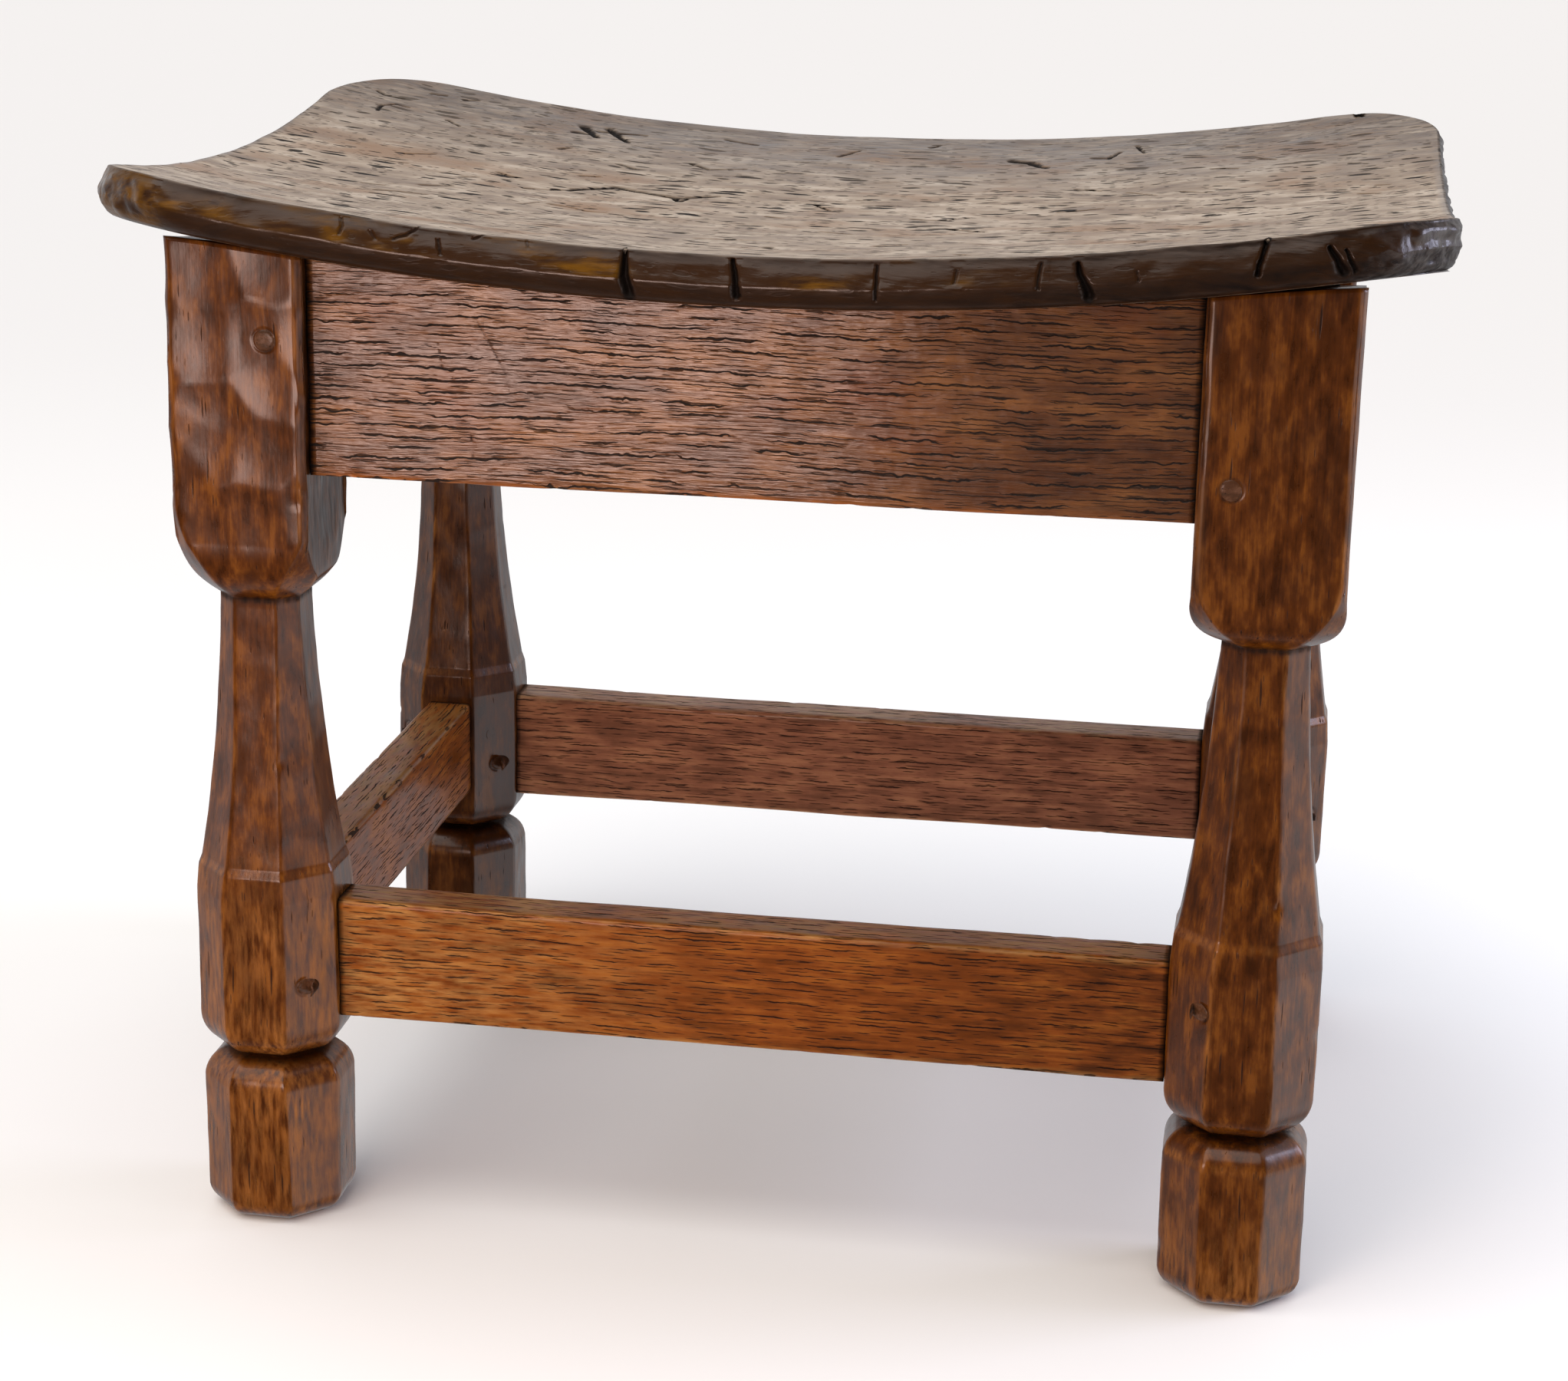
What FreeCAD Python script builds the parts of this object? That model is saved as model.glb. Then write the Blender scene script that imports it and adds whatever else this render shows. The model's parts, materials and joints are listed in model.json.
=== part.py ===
"""Oak stool: a dished plank seat on four faceted legs, framed with pegged mortise and tenon rails.

Millimetres. +Z is up, +X runs along the seat, and the front faces -Y.
The origin is on the floor, under the middle of the seat.
"""
import FreeCAD, Part
import math
import os

Vector = FreeCAD.Vector

# Seat plank, dished on top and worked to a shallower dish below
seat_length = 465.0
seat_depth = 340.0
seat_corner_radius = 50.0
seat_height = 353.5
seat_thickness = 13.0
top_rise_at_ends = 18.0
top_rise_at_sides = 12.0
top_rise_at_corners = 7.0
under_rise_at_ends = 14.0
under_rise_at_sides = 8.0
under_rise_at_corners = 10.5
edge_slope_in = 3.5
edge_slope_drop = 10.0
edge_round_in = 5.5
edge_round_shares = ((0.13, 0.5), (0.5, 0.87), (1.4, 1.17))
edge_run_on_share = 0.25
dish_reach_share = 1.2
seat_bedding_gap = 0.15

# The seat stands out past the outer faces of the legs by these
end_overhang = 32.5
side_overhang = 13.2

# Leg: a square block, a waisted neck, a belly, a groove and a foot, all from one square blank.
# The front left block is planed back on the side that its apron meets
block_width = 51.0
front_left_block_trim = 3.0
block_arris = 2.0
block_length = 84.5
block_round_length = 21.5
block_round_bow = 3.5
corner_cut_length = 33.5
corner_cut_bow = 4.5
neck_hollow_length = 3.5
neck_width = 29.6
neck_bow = 1.5
crease_narrowing = 0.4
belly_bevel_length = 9.0
belly_swell = 1.0
belly_wall_length = 47.0
belly_round_length = 13.5
belly_round_in = 7.0
belly_round_bow = 2.2
groove_length = 2.5
groove_width = 25.0
foot_narrowing = 0.4
foot_round_length = 10.0
foot_round_in = 7.8
foot_round_bow = 1.9
foot_wall_length = 44.0
sole_round_length = 8.0
sole_round_in = 6.8
sole_round_bow = 1.7
corner_facet_shares = {"foot": 1.008, "groove": 1.0, "belly": 1.015, "crease": 1.006, "neck": 1.055}

# Rails
apron_thickness = 19.0
apron_drop = 60.5
apron_set_back = 8.0
apron_outer_round = 2.5
stretcher_thickness = 19.0
long_stretcher_height = 45.0
short_stretcher_height = 40.0
stretcher_set_down = 2.5
stretcher_arris = 1.5

# Joints between rails and legs
tenon_thickness = 9.5
tenon_shoulder = 5.5
short_rail_tenon_length = 34.0
tenon_tip_gap = 1.0
tenon_root_overlap = 1.0
mortise_spare_depth = 2.0
haunch_length = 8.0
haunch_height = 16.0

# Eight-sided pegs, by the half width over their flats, and where each one crosses its tenon:
# share of the tenon's length, share of its height. Those of the long stretchers go right through the leg
apron_peg_half_width = 3.9
apron_peg_length = 38.0
stretcher_peg_half_width = 3.3
short_stretcher_peg_length = 36.0
peg_hole_clearance = 0.1
apron_peg_shares = (((0.58, 0.80), (0.43, 0.16)), ((0.35, 0.75), (0.38, 0.72)),
                    ((0.50, 0.20), (0.52, 0.78)), ((0.35, 0.25), (0.40, 0.22)))
stretcher_peg_shares = (((0.45, 0.28), (0.58, 0.81)), ((0.25, 0.25), (0.27, 0.25)),
                        ((0.50, 0.70), (0.30, 0.31)), ((0.24, 0.66), (0.26, 0.65)))

# Buttons that hold the seat down on the long aprons, and their screws
button_width = 32.0
button_reach = 28.0
button_thickness = 16.0
tongue_length = 7.0
tongue_thickness = 7.0
tongue_play = 0.5
screw_radius = 2.0
screw_head_radius = 4.0
screw_head_depth = 2.2
screw_bite = 8.0
screw_hole_clearance = 0.1
screw_place_share = 0.6
button_place_shares = (-0.5, 0.5)

# Every cutting solid runs past what it cuts by this much
overrun = 20.0

# Points that shape each curve of the seat's outline
ring_points = 5

# Sizes worked out from the ones above
half_length = seat_length / 2
half_depth = seat_depth / 2
under_height = seat_height - seat_thickness
edge_depth = seat_thickness + top_rise_at_ends - under_rise_at_ends
block_half = block_width / 2
belly_half = (block_width + belly_swell) / 2
crease_half = (block_width - crease_narrowing) / 2
foot_half = (block_width - foot_narrowing) / 2
leg_axis_x = half_length - end_overhang - block_half
leg_axis_y = half_depth - side_overhang - block_half
foot_wall_top = sole_round_length + foot_wall_length
foot_top = foot_wall_top + foot_round_length
belly_bottom = foot_top + groove_length
belly_wall_bottom = belly_bottom + belly_round_length
belly_wall_top = belly_wall_bottom + belly_wall_length
crease_height = belly_wall_top + belly_bevel_length
block_underside = under_height - block_length - block_round_length
neck_top = block_underside - neck_hollow_length
leg_cut_top = seat_height + overrun
stretcher_top = belly_wall_top - stretcher_set_down
apron_bottom = under_height - apron_drop

SIDES = ("front", "right", "back", "left")
CORNERS = ("front_left", "front_right", "back_right", "back_left")
UP = Vector(0, 0, 1)


def dished_height(x, y, centre, at_ends, at_sides, at_corners):
    """Height of a dished surface over a place in the plan."""
    along = (x / half_length) ** 2
    across = (y / half_depth) ** 2
    return centre + at_ends * along + at_sides * across + at_corners * along * across


def below_dish(centre, at_ends, at_sides, at_corners):
    """Everything under a dished surface, as one solid that reaches past the plan of the seat.

    The surface is a biquadratic patch, so these nine poles give the dish exactly.
    """
    reach = dish_reach_share
    steps = ((-1, 1), (0, -1), (1, 1))
    poles = []
    for step_x, sign_x in steps:
        row = []
        for step_y, sign_y in steps:
            along = sign_x * reach ** 2
            across = sign_y * reach ** 2
            height = centre + at_ends * along + at_sides * across + at_corners * along * across
            row.append(Vector(step_x * reach * half_length, step_y * reach * half_depth, height))
        poles.append(row)
    surface = Part.BezierSurface()
    surface.increase(2, 2)
    for i, row in enumerate(poles):
        for j, pole in enumerate(row):
            surface.setPole(i + 1, j + 1, pole)
    return surface.toShape().extrude(UP * -(centre + overrun))


def top_height_at(x, y):
    """Height of the seat's top over a place in the plan."""
    return dished_height(x, y, seat_height, top_rise_at_ends, top_rise_at_sides, top_rise_at_corners)


def under_height_at(x, y):
    """Height of the seat's underside over a place in the plan."""
    return dished_height(x, y, under_height, under_rise_at_ends, under_rise_at_sides, under_rise_at_corners)


def box_between(low, high):
    """Box from its lowest corner to its highest corner, given as (x, y, z)."""
    size = [b - a for a, b in zip(low, high)]
    return Part.makeBox(size[0], size[1], size[2], Vector(*low))


def quarter_turned(point, turns):
    """Point carried round the stool's middle by quarter turns."""
    for _ in range(turns):
        point = Vector(-point.y, point.x, point.z)
    return point


def turned(shape, side):
    """Copy of a shape made at the front, carried round to another side of the stool."""
    copy = shape.copy()
    copy.rotate(Vector(0, 0, 0), UP, SIDES.index(side) * 90)
    return copy


def plan_ring(inset, depth=None):
    """Closed wire round the plan of the seat, drawn in by an inset.

    It follows the top of the dish at a depth below it, or lies flat on the floor if no depth is given.
    """
    x = half_length - inset
    y = half_depth - inset
    radius = seat_corner_radius - inset
    steps = range(ring_points)
    edges = []
    for turn in range(4):
        along, across = (x, y) if turn % 2 == 0 else (y, x)
        middle = Vector(along - radius, radius - across, 0)
        line = [Vector((along - radius) * (2 * step / steps[-1] - 1), -across, 0) for step in steps]
        angles = [math.pi / 2 * step / steps[-1] for step in steps]
        corner = [middle + Vector(math.sin(angle), -math.cos(angle), 0) * radius for angle in angles]
        for points in (line, corner):
            placed = [quarter_turned(point, turn) for point in points]
            if depth is not None:
                for point in placed:
                    point.z = top_height_at(point.x, point.y) - depth
            curve = Part.BSplineCurve()
            curve.interpolate(placed)
            edges.append(curve.toShape())
    return Part.Wire(edges)


def make_rim():
    """Solid inside the worked edge of the seat, running on past its top and its underside."""
    run_on = edge_run_on_share
    lower = edge_depth - edge_slope_drop
    rings = [(edge_slope_in * (1 + run_on), -edge_slope_drop * run_on), (0, edge_slope_drop)]
    rings += [(edge_round_in * inward, edge_slope_drop + lower * down) for inward, down in edge_round_shares]
    wires = [plan_ring(inset, depth) for inset, depth in rings]
    ceiling = plan_ring(rings[0][0])
    ceiling.translate(UP * leg_cut_top * 2)
    floor = plan_ring(rings[-1][0])
    return Part.makeLoft([ceiling] + wires + [floor], True, True)


def make_seat(screws):
    """Seat plank: dished top and underside, sloped upper edge, rounded lower edge, screw holes."""
    below_top = below_dish(seat_height, top_rise_at_ends, top_rise_at_sides, top_rise_at_corners)
    below_under = below_dish(under_height, under_rise_at_ends, under_rise_at_sides, under_rise_at_corners)
    seat = make_rim().common(below_top).cut(below_under)
    for hole in screws:
        seat = seat.cut(hole)
    return seat


def bowed(side, start, end, bow):
    """Arc from start to end in the outline's plane, standing off its chord by bow, outwards if positive."""
    chord = end - start
    normal = Vector(chord.z, 0, -chord.x).normalize() * side
    return Part.Arc(start, (start + end) / 2 + normal * bow, end)


def facet_outline(side, foot, groove, belly, crease, neck, block, block_round, block_bow):
    """Curves of one side of a leg's outline, from the sole up, at half widths from its axis."""

    def at(half_width, height):
        return Vector(side * half_width, 0, height)

    foot_lip = at(foot - foot_round_in, foot_top)
    belly_lip = at(belly - belly_round_in, belly_bottom)
    block_start = at(block, block_underside + block_round)
    return [
        bowed(side, at(foot - sole_round_in, 0), at(foot, sole_round_length), sole_round_bow),
        Part.LineSegment(at(foot, sole_round_length), at(foot, foot_wall_top)),
        bowed(side, at(foot, foot_wall_top), foot_lip, foot_round_bow),
        Part.LineSegment(foot_lip, at(groove, foot_top)),
        Part.LineSegment(at(groove, foot_top), at(groove, belly_bottom)),
        Part.LineSegment(at(groove, belly_bottom), belly_lip),
        bowed(side, belly_lip, at(belly, belly_wall_bottom), belly_round_bow),
        Part.LineSegment(at(belly, belly_wall_bottom), at(belly, belly_wall_top)),
        Part.LineSegment(at(belly, belly_wall_top), at(crease, crease_height)),
        bowed(side, at(crease, crease_height), at(neck, neck_top), -neck_bow),
        Part.LineSegment(at(neck, neck_top), at(neck, block_underside)),
        bowed(side, at(neck, block_underside), block_start, block_bow),
        Part.LineSegment(block_start, at(block, leg_cut_top)),
    ]


def facet_prism(*half_widths):
    """Bar along Y with a leg's outline, as if two opposite faces were cut with one template."""
    sides = {}
    for side in (-1, 1):
        sides[side] = [curve.toShape() for curve in facet_outline(side, *half_widths)]
    foot = half_widths[0] - sole_round_in
    block = half_widths[5]
    sole = Part.LineSegment(Vector(-foot, 0, 0), Vector(foot, 0, 0)).toShape()
    top = Part.LineSegment(Vector(-block, 0, leg_cut_top), Vector(block, 0, leg_cut_top)).toShape()
    outline = Part.Wire(sides[-1][::-1] + [sole] + sides[1] + [top])
    reach = block_width
    bar = Part.Face(outline).extrude(Vector(0, reach * 2, 0))
    bar.translate(Vector(0, -reach, 0))
    return bar


def make_leg_blank():
    """Leg about its own axis, cut square from four sides and then along its four corners."""
    share = corner_facet_shares
    flat = facet_prism(foot_half, groove_width / 2, belly_half, crease_half, neck_width / 2,
                       block_half, block_round_length, block_round_bow)
    corner_half = (block_width - block_arris) / math.sqrt(2)
    corner = facet_prism(foot_half * share["foot"], groove_width / 2 * share["groove"],
                         belly_half * share["belly"], crease_half * share["crease"],
                         neck_width / 2 * share["neck"], corner_half, corner_cut_length, corner_cut_bow)
    blank = flat
    for bar, angle in ((flat, 90), (corner, 45), (corner, 135)):
        cutter = bar.copy()
        cutter.rotate(Vector(0, 0, 0), UP, angle)
        blank = blank.common(cutter)
    return blank.Solids[0]


def rail_spans(side):
    """Distances from the stool's middle to the leg axes: along the rail on a side, and across it."""
    return (leg_axis_x, leg_axis_y) if side in ("front", "back") else (leg_axis_y, leg_axis_x)


def tenon_length_for(side, half_span, crossing_line):
    """Tenon length: the short rails' run deep, and the long rails' stop short of them."""
    if side in ("right", "left"):
        return short_rail_tenon_length
    return crossing_line - tenon_thickness / 2 - tenon_tip_gap - half_span


def add_tenons(body, half_span, line, length, bottom, top):
    """Rail body with a tenon on each end, and the mortises that take them."""
    mortises = []
    for end in (-1, 1):
        for reach, target in ((length, "tenon"), (length + mortise_spare_depth, "mortise")):
            root = half_span - (tenon_root_overlap if target == "tenon" else 0)
            xs = sorted((end * root, end * (half_span + reach)))
            block = box_between((xs[0], -line - tenon_thickness / 2, bottom),
                                (xs[1], -line + tenon_thickness / 2, top))
            if target == "tenon":
                body = body.fuse(block)
            else:
                mortises.append(block)
    return body.removeSplitter(), mortises


def eight_sided_rod(half_width, place, depth):
    """Rod of octagonal section that runs back from a place along Y."""
    reach = half_width / math.cos(math.pi / 8)
    angles = [math.pi / 4 * (corner + 1 / 2) for corner in range(9)]
    points = [place + Vector(math.cos(angle), 0, math.sin(angle)) * reach for angle in angles]
    return Part.Face(Part.makePolygon(points)).extrude(Vector(0, depth, 0))


def peg_rods(shares, half_span, length, bottom, top, half_width, start, depth):
    """Peg rods and their holes at both ends of a rail, driven in from its outer side."""
    rods = []
    holes = []
    for end, (along, up) in zip((-1, 1), shares):
        place = Vector(end * (half_span + length * along), start, bottom + (top - bottom) * up)
        rods.append(eight_sided_rod(half_width, place, depth))
        holes.append(eight_sided_rod(half_width + peg_hole_clearance, place, depth))
    return rods, holes


def make_apron(side, below_seat):
    """Apron on one side with its mortises, pegs, peg holes, buttons and button mortises."""
    along, across = rail_spans(side)
    half_span = along - block_half
    line = across + block_half - apron_set_back - apron_thickness / 2
    crossing_line = along + block_half - apron_set_back - apron_thickness / 2
    length = tenon_length_for(side, half_span, crossing_line)
    outer = -line - apron_thickness / 2
    inner = -line + apron_thickness / 2
    left_span = half_span + (front_left_block_trim if side == "front" else 0)
    body = box_between((-left_span, outer, apron_bottom), (half_span, inner, leg_cut_top))
    lower = [edge for edge in body.Edges
             if all(vertex.Point.z == apron_bottom and vertex.Point.y == outer for vertex in edge.Vertexes)]
    body = body.makeFillet(apron_outer_round, lower)
    bottom = apron_bottom + tenon_shoulder
    shoulder_x, shoulder_y = (half_span, line) if side in ("front", "back") else (line, half_span)
    top = under_height_at(shoulder_x, shoulder_y) - haunch_height
    body, mortises = add_tenons(body, half_span, line, length, bottom, top)
    body, haunch_mortises = add_tenons(body, half_span, line, haunch_length, top, leg_cut_top)
    start = -(across + block_half)
    rods, holes = peg_rods(apron_peg_shares[SIDES.index(side)], half_span, length, bottom, top,
                           apron_peg_half_width, start, apron_peg_length)
    apron = turned(body, side).common(below_seat)
    return {
        "rail": apron,
        "mortises": [turned(shape, side) for shape in mortises + haunch_mortises],
        "rods": [turned(shape, side) for shape in rods],
        "holes": [turned(shape, side) for shape in holes],
        "inner": inner,
        "half_span": half_span,
    }


def make_stretcher(side):
    """Stretcher on one side with its mortises, pegs and peg holes."""
    along, across = rail_spans(side)
    half_span = along - belly_half
    if side in ("front", "back"):
        height = long_stretcher_height
        peg_length = belly_half * 2
    else:
        height = short_stretcher_height
        peg_length = short_stretcher_peg_length
    length = tenon_length_for(side, half_span, along)
    floor = stretcher_top - height
    body = box_between((-half_span, -across - stretcher_thickness / 2, floor),
                       (half_span, -across + stretcher_thickness / 2, stretcher_top))
    long_edges = [edge for edge in body.Edges if edge.Vertexes[0].Point.x != edge.Vertexes[-1].Point.x]
    body = body.makeChamfer(stretcher_arris, long_edges)
    bottom = floor + tenon_shoulder
    top = stretcher_top - tenon_shoulder
    body, mortises = add_tenons(body, half_span, across, length, bottom, top)
    rods, holes = peg_rods(stretcher_peg_shares[SIDES.index(side)], half_span, length, bottom, top,
                           stretcher_peg_half_width, -(across + belly_half), peg_length)
    return {
        "rail": turned(body, side),
        "mortises": [turned(shape, side) for shape in mortises],
        "rods": [turned(shape, side) for shape in rods],
        "holes": [turned(shape, side) for shape in holes],
    }


def make_screw(spot, bottom, tip, clearance):
    """Round-headed screw pointing up, with its head under a height, or its hole if a clearance is given."""
    shank = Part.makeCylinder(screw_radius + clearance, tip - bottom + clearance, Vector(spot.x, spot.y, bottom))
    if clearance:
        return shank
    place = Vector(spot.x, spot.y, bottom - screw_head_depth)
    return shank.fuse(Part.makeCylinder(screw_head_radius, screw_head_depth, place)).removeSplitter()


def make_buttons(side, apron, below_seat):
    """Buttons on one apron, with their screws, screw holes and the mortises for their tongues."""
    inner = apron["inner"]
    made = {"buttons": [], "screws": [], "holes": [], "mortises": []}
    for share in button_place_shares:
        x = share * apron["half_span"]
        heel = quarter_turned(Vector(x, inner, 0), SIDES.index(side))
        spot = quarter_turned(Vector(x, inner + button_reach * screw_place_share, 0), SIDES.index(side))
        bottom = under_height_at(heel.x, heel.y) - button_thickness
        tip = under_height_at(spot.x, spot.y) + screw_bite
        low_x = x - button_width / 2
        high_x = x + button_width / 2
        block = box_between((low_x, inner, bottom), (high_x, inner + button_reach, leg_cut_top))
        tongue = box_between((low_x, inner - tongue_length, bottom), (high_x, inner, bottom + tongue_thickness))
        mortise = box_between((low_x - tongue_play, inner - tongue_length - tongue_play, bottom - tongue_play),
                              (high_x + tongue_play, inner, bottom + tongue_thickness))
        hole = make_screw(spot, bottom, tip, screw_hole_clearance)
        button = turned(block.fuse(tongue).removeSplitter(), side).common(below_seat).cut(hole)
        made["buttons"].append(button)
        made["screws"].append(make_screw(spot, bottom, tip, 0))
        made["holes"].append(hole)
        made["mortises"].append(turned(mortise, side))
    return made


def trim_block(leg, place):
    """Front left leg with its block planed back on the side that faces along +X."""
    face = place.x + block_half - front_left_block_trim
    waste = box_between((face, place.y - block_width, block_underside),
                        (face + block_width, place.y + block_width, leg_cut_top))
    return leg.cut(waste)


def single(shape):
    """The one solid of a shape that a cut or a fuse has wrapped in a compound."""
    assert len(shape.Solids) == 1
    return shape.Solids[0]


def near(leg_place, shape):
    """True if a shape's middle lies on the same quarter of the plan as a leg."""
    middle = shape.BoundBox.Center
    return middle.x * leg_place.x > 0 and middle.y * leg_place.y > 0


def export(name, solids):
    """Write one node: a single solid, or a group of separate ones."""
    for solid in solids:
        assert solid.isValid() and solid.isClosed()
    shape = solids[0] if len(solids) == 1 else Part.makeCompound(solids)
    shape.exportStep("parts/" + name + ".step")
    print(name, len(solids), "solid(s), volume", round(shape.Volume))


os.makedirs("parts", exist_ok=True)

below_seat = below_dish(under_height - seat_bedding_gap, under_rise_at_ends, under_rise_at_sides,
                        under_rise_at_corners)
aprons = {side: make_apron(side, below_seat) for side in SIDES}
stretchers = {side: make_stretcher(side) for side in SIDES}
buttons = {side: make_buttons(side, aprons[side], below_seat) for side in ("front", "back")}

seat = make_seat([hole for made in buttons.values() for hole in made["holes"]])
export("seat", [single(seat)])

blank = make_leg_blank()
leg_signs = {"front_left": (-1, -1), "front_right": (1, -1), "back_right": (1, 1), "back_left": (-1, 1)}
blanks = {}
for corner in CORNERS:
    sign_x, sign_y = leg_signs[corner]
    place = Vector(sign_x * leg_axis_x, sign_y * leg_axis_y, 0)
    placed = blank.copy()
    placed.translate(place)
    blanks[corner] = placed
    leg = placed.common(below_seat)
    if corner == "front_left":
        leg = trim_block(leg, place)
    for rail in list(aprons.values()) + list(stretchers.values()):
        for cutter in rail["mortises"] + rail["holes"]:
            if near(place, cutter):
                leg = leg.cut(cutter)
    export("leg_" + corner, [single(leg)])

for kind, rails in (("apron", aprons), ("stretcher", stretchers)):
    for side, parts in rails.items():
        rail = parts["rail"]
        for hole in parts["holes"]:
            rail = rail.cut(hole)
        if kind == "apron" and side in buttons:
            for mortise in buttons[side]["mortises"]:
                rail = rail.cut(mortise)
        export(kind + "_" + side, [single(rail)])
        trimmed = []
        for rod in parts["rods"]:
            home = [blanks[corner] for corner in CORNERS if near(blanks[corner].BoundBox.Center, rod)][0]
            trimmed.append(single(rod.common(home)))
        export(kind + "_pegs_" + side, trimmed)

export("seat_buttons", [single(shape) for made in buttons.values() for shape in made["buttons"]])
export("button_screws", [single(shape) for made in buttons.values() for shape in made["screws"]])
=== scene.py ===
"""Looks of a low oak stool: fumed and waxed oak, shaped and worn by hand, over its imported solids."""

import json
import logging
import math
from dataclasses import dataclass, field
from enum import Enum

import bmesh
import bpy
import numpy as np
from mathutils import Matrix, Vector
from mathutils.bvhtree import BVHTree
from mathutils.kdtree import KDTree

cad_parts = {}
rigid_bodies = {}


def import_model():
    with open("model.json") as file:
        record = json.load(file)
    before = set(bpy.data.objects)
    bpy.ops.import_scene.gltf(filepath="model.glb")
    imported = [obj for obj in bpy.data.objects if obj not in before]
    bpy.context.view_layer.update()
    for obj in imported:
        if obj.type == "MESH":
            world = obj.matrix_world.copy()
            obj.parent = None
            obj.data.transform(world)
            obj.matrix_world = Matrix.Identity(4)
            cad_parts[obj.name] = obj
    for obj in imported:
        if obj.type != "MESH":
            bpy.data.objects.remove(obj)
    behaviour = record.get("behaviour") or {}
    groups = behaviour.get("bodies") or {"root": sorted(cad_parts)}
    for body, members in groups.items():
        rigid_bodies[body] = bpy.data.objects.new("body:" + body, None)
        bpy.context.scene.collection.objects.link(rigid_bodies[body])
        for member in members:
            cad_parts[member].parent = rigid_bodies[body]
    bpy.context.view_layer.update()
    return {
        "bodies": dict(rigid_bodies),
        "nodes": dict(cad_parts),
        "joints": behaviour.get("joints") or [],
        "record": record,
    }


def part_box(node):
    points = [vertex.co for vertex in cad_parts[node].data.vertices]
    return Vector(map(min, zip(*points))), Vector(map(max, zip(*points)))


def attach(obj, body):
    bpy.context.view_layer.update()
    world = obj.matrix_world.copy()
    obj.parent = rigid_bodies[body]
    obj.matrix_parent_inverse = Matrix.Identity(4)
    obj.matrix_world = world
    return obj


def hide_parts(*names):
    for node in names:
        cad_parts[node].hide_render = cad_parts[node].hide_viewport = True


LOG = logging.getLogger("oak_stool")
MM = 0.001
SQRT2 = math.sqrt(2)
ROOT = "root"
SIDES = ("front", "right", "back", "left")
CORNERS = ("front_left", "front_right", "back_right", "back_left")
# What each vertex of a piece carries, and the number of millimetres that stands for far off
MARKS = ("wear", "stain", "grime")
FAR = 99.0
# The gap left between the seat and what carries it, and how far off a flat face a vertex may lie, in millimetres
SEAT_GAP = 0.3
ON_FACE = 0.04


class Grain(Enum):
    """Which way the grain of a piece runs."""

    ALONG_X = (0.0, 0.0, 0.0)
    ALONG_Y = (0.0, 0.0, -math.pi / 2)
    UPRIGHT = (0.0, math.pi / 2, 0.0)


def linear(code: str) -> tuple[float, float, float, float]:
    """Turn an sRGB hex colour into the linear one that the shaders take.

    Args:
        code: Six hex digits, as in "8a5a33".

    Returns:
        Linear red, green, blue and an alpha of one.
    """
    parts = [int(code[i:i + 2], 16) / 255 for i in (0, 2, 4)]
    return tuple(part / 12.92 if part <= 0.04045 else ((part + 0.055) / 1.055) ** 2.4
                 for part in parts) + (1.0,)


def smooth(low: float, high: float, values: np.ndarray) -> np.ndarray:
    """Rise with no corner at either end.

    Args:
        low: Where the rise starts.
        high: Where it ends, which may be below its start.
        values: What is looked up.

    Returns:
        0 at low and before it, 1 at high and after it, and a share in between.
    """
    share = np.clip((values - low) / (high - low), 0.0, 1.0)
    return share * share * (3 - 2 * share)


def bell(values: np.ndarray, width: float | np.ndarray) -> np.ndarray:
    """Fall smoothly from 1 at zero to about a third at the width, on both sides."""
    return np.exp(-(values / width) ** 2)


def unit(rows: np.ndarray) -> np.ndarray:
    """Rows brought to a length of one, or left at zero where they have none."""
    return rows / np.maximum(np.linalg.norm(rows, axis=1), 1e-6)[:, None]


def scattered(cells: np.ndarray, seed: int) -> np.ndarray:
    """Scatter values over a lattice.

    Args:
        cells: Whole numbers of the cells, one row each.
        seed: Seed of the scattering.

    Returns:
        Value between -1 and 1 that belongs to each cell and seed.
    """
    mixed = seed * 2654435761
    for axis, factor in zip(range(cells.shape[-1]), (73856093, 19349663, 83492791)):
        mixed = mixed ^ (cells[..., axis] * factor)
    mixed = mixed & 0xFFFFFFFF
    for shift, factor in ((15, 2246822519), (13, 3266489917)):
        mixed = ((mixed ^ (mixed >> shift)) * factor) & 0xFFFFFFFF
    return (mixed ^ (mixed >> 16)) / 0x7FFFFFFF - 1.0


@dataclass(frozen=True)
class Ripple:
    """Seeded smooth noise in space, for the unevenness that hand tools and wear leave."""

    seed: int
    wavelength: tuple[float, float, float]

    def at(self, points: np.ndarray) -> np.ndarray:
        """Sample the noise.

        Args:
            points: Places in millimetres, one row each.

        Returns:
            One value between -1 and 1 for each place.
        """
        scaled = points / np.array(self.wavelength)
        cells = np.floor(scaled).astype(np.int64)
        share = scaled - cells
        share = share * share * (3 - 2 * share)
        total = np.zeros(len(points))
        for step in np.ndindex(2, 2, 2):
            weight = np.prod(np.where(step, share, 1 - share), axis=1)
            total += weight * scattered(cells + np.array(step), self.seed)
        return total


@dataclass(frozen=True)
class Scoops:
    """Shallow hollows that an adze, plane or drawknife leaves, with a low ridge where two meet."""

    seed: int
    cell: tuple[float, float]
    deep: float

    def at(self, places: np.ndarray) -> np.ndarray:
        """Sample the hollows.

        Args:
            places: Places on one flat face, in millimetres.

        Returns:
            Depth of the hollows there, in millimetres.
        """
        scaled = places / np.array(self.cell)
        home = np.floor(scaled).astype(np.int64)
        nearest = np.full(len(places), 9.0)
        for step in np.ndindex(3, 3):
            cells = home + np.array(step) - 1
            jitter = np.stack([scattered(cells, self.seed), scattered(cells, self.seed + 1)], axis=-1)
            offset = scaled - (cells + 0.5 + 0.38 * jitter)
            nearest = np.minimum(nearest, (offset ** 2).sum(axis=1))
        return self.deep * (1 - 1.8 * nearest)


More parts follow.
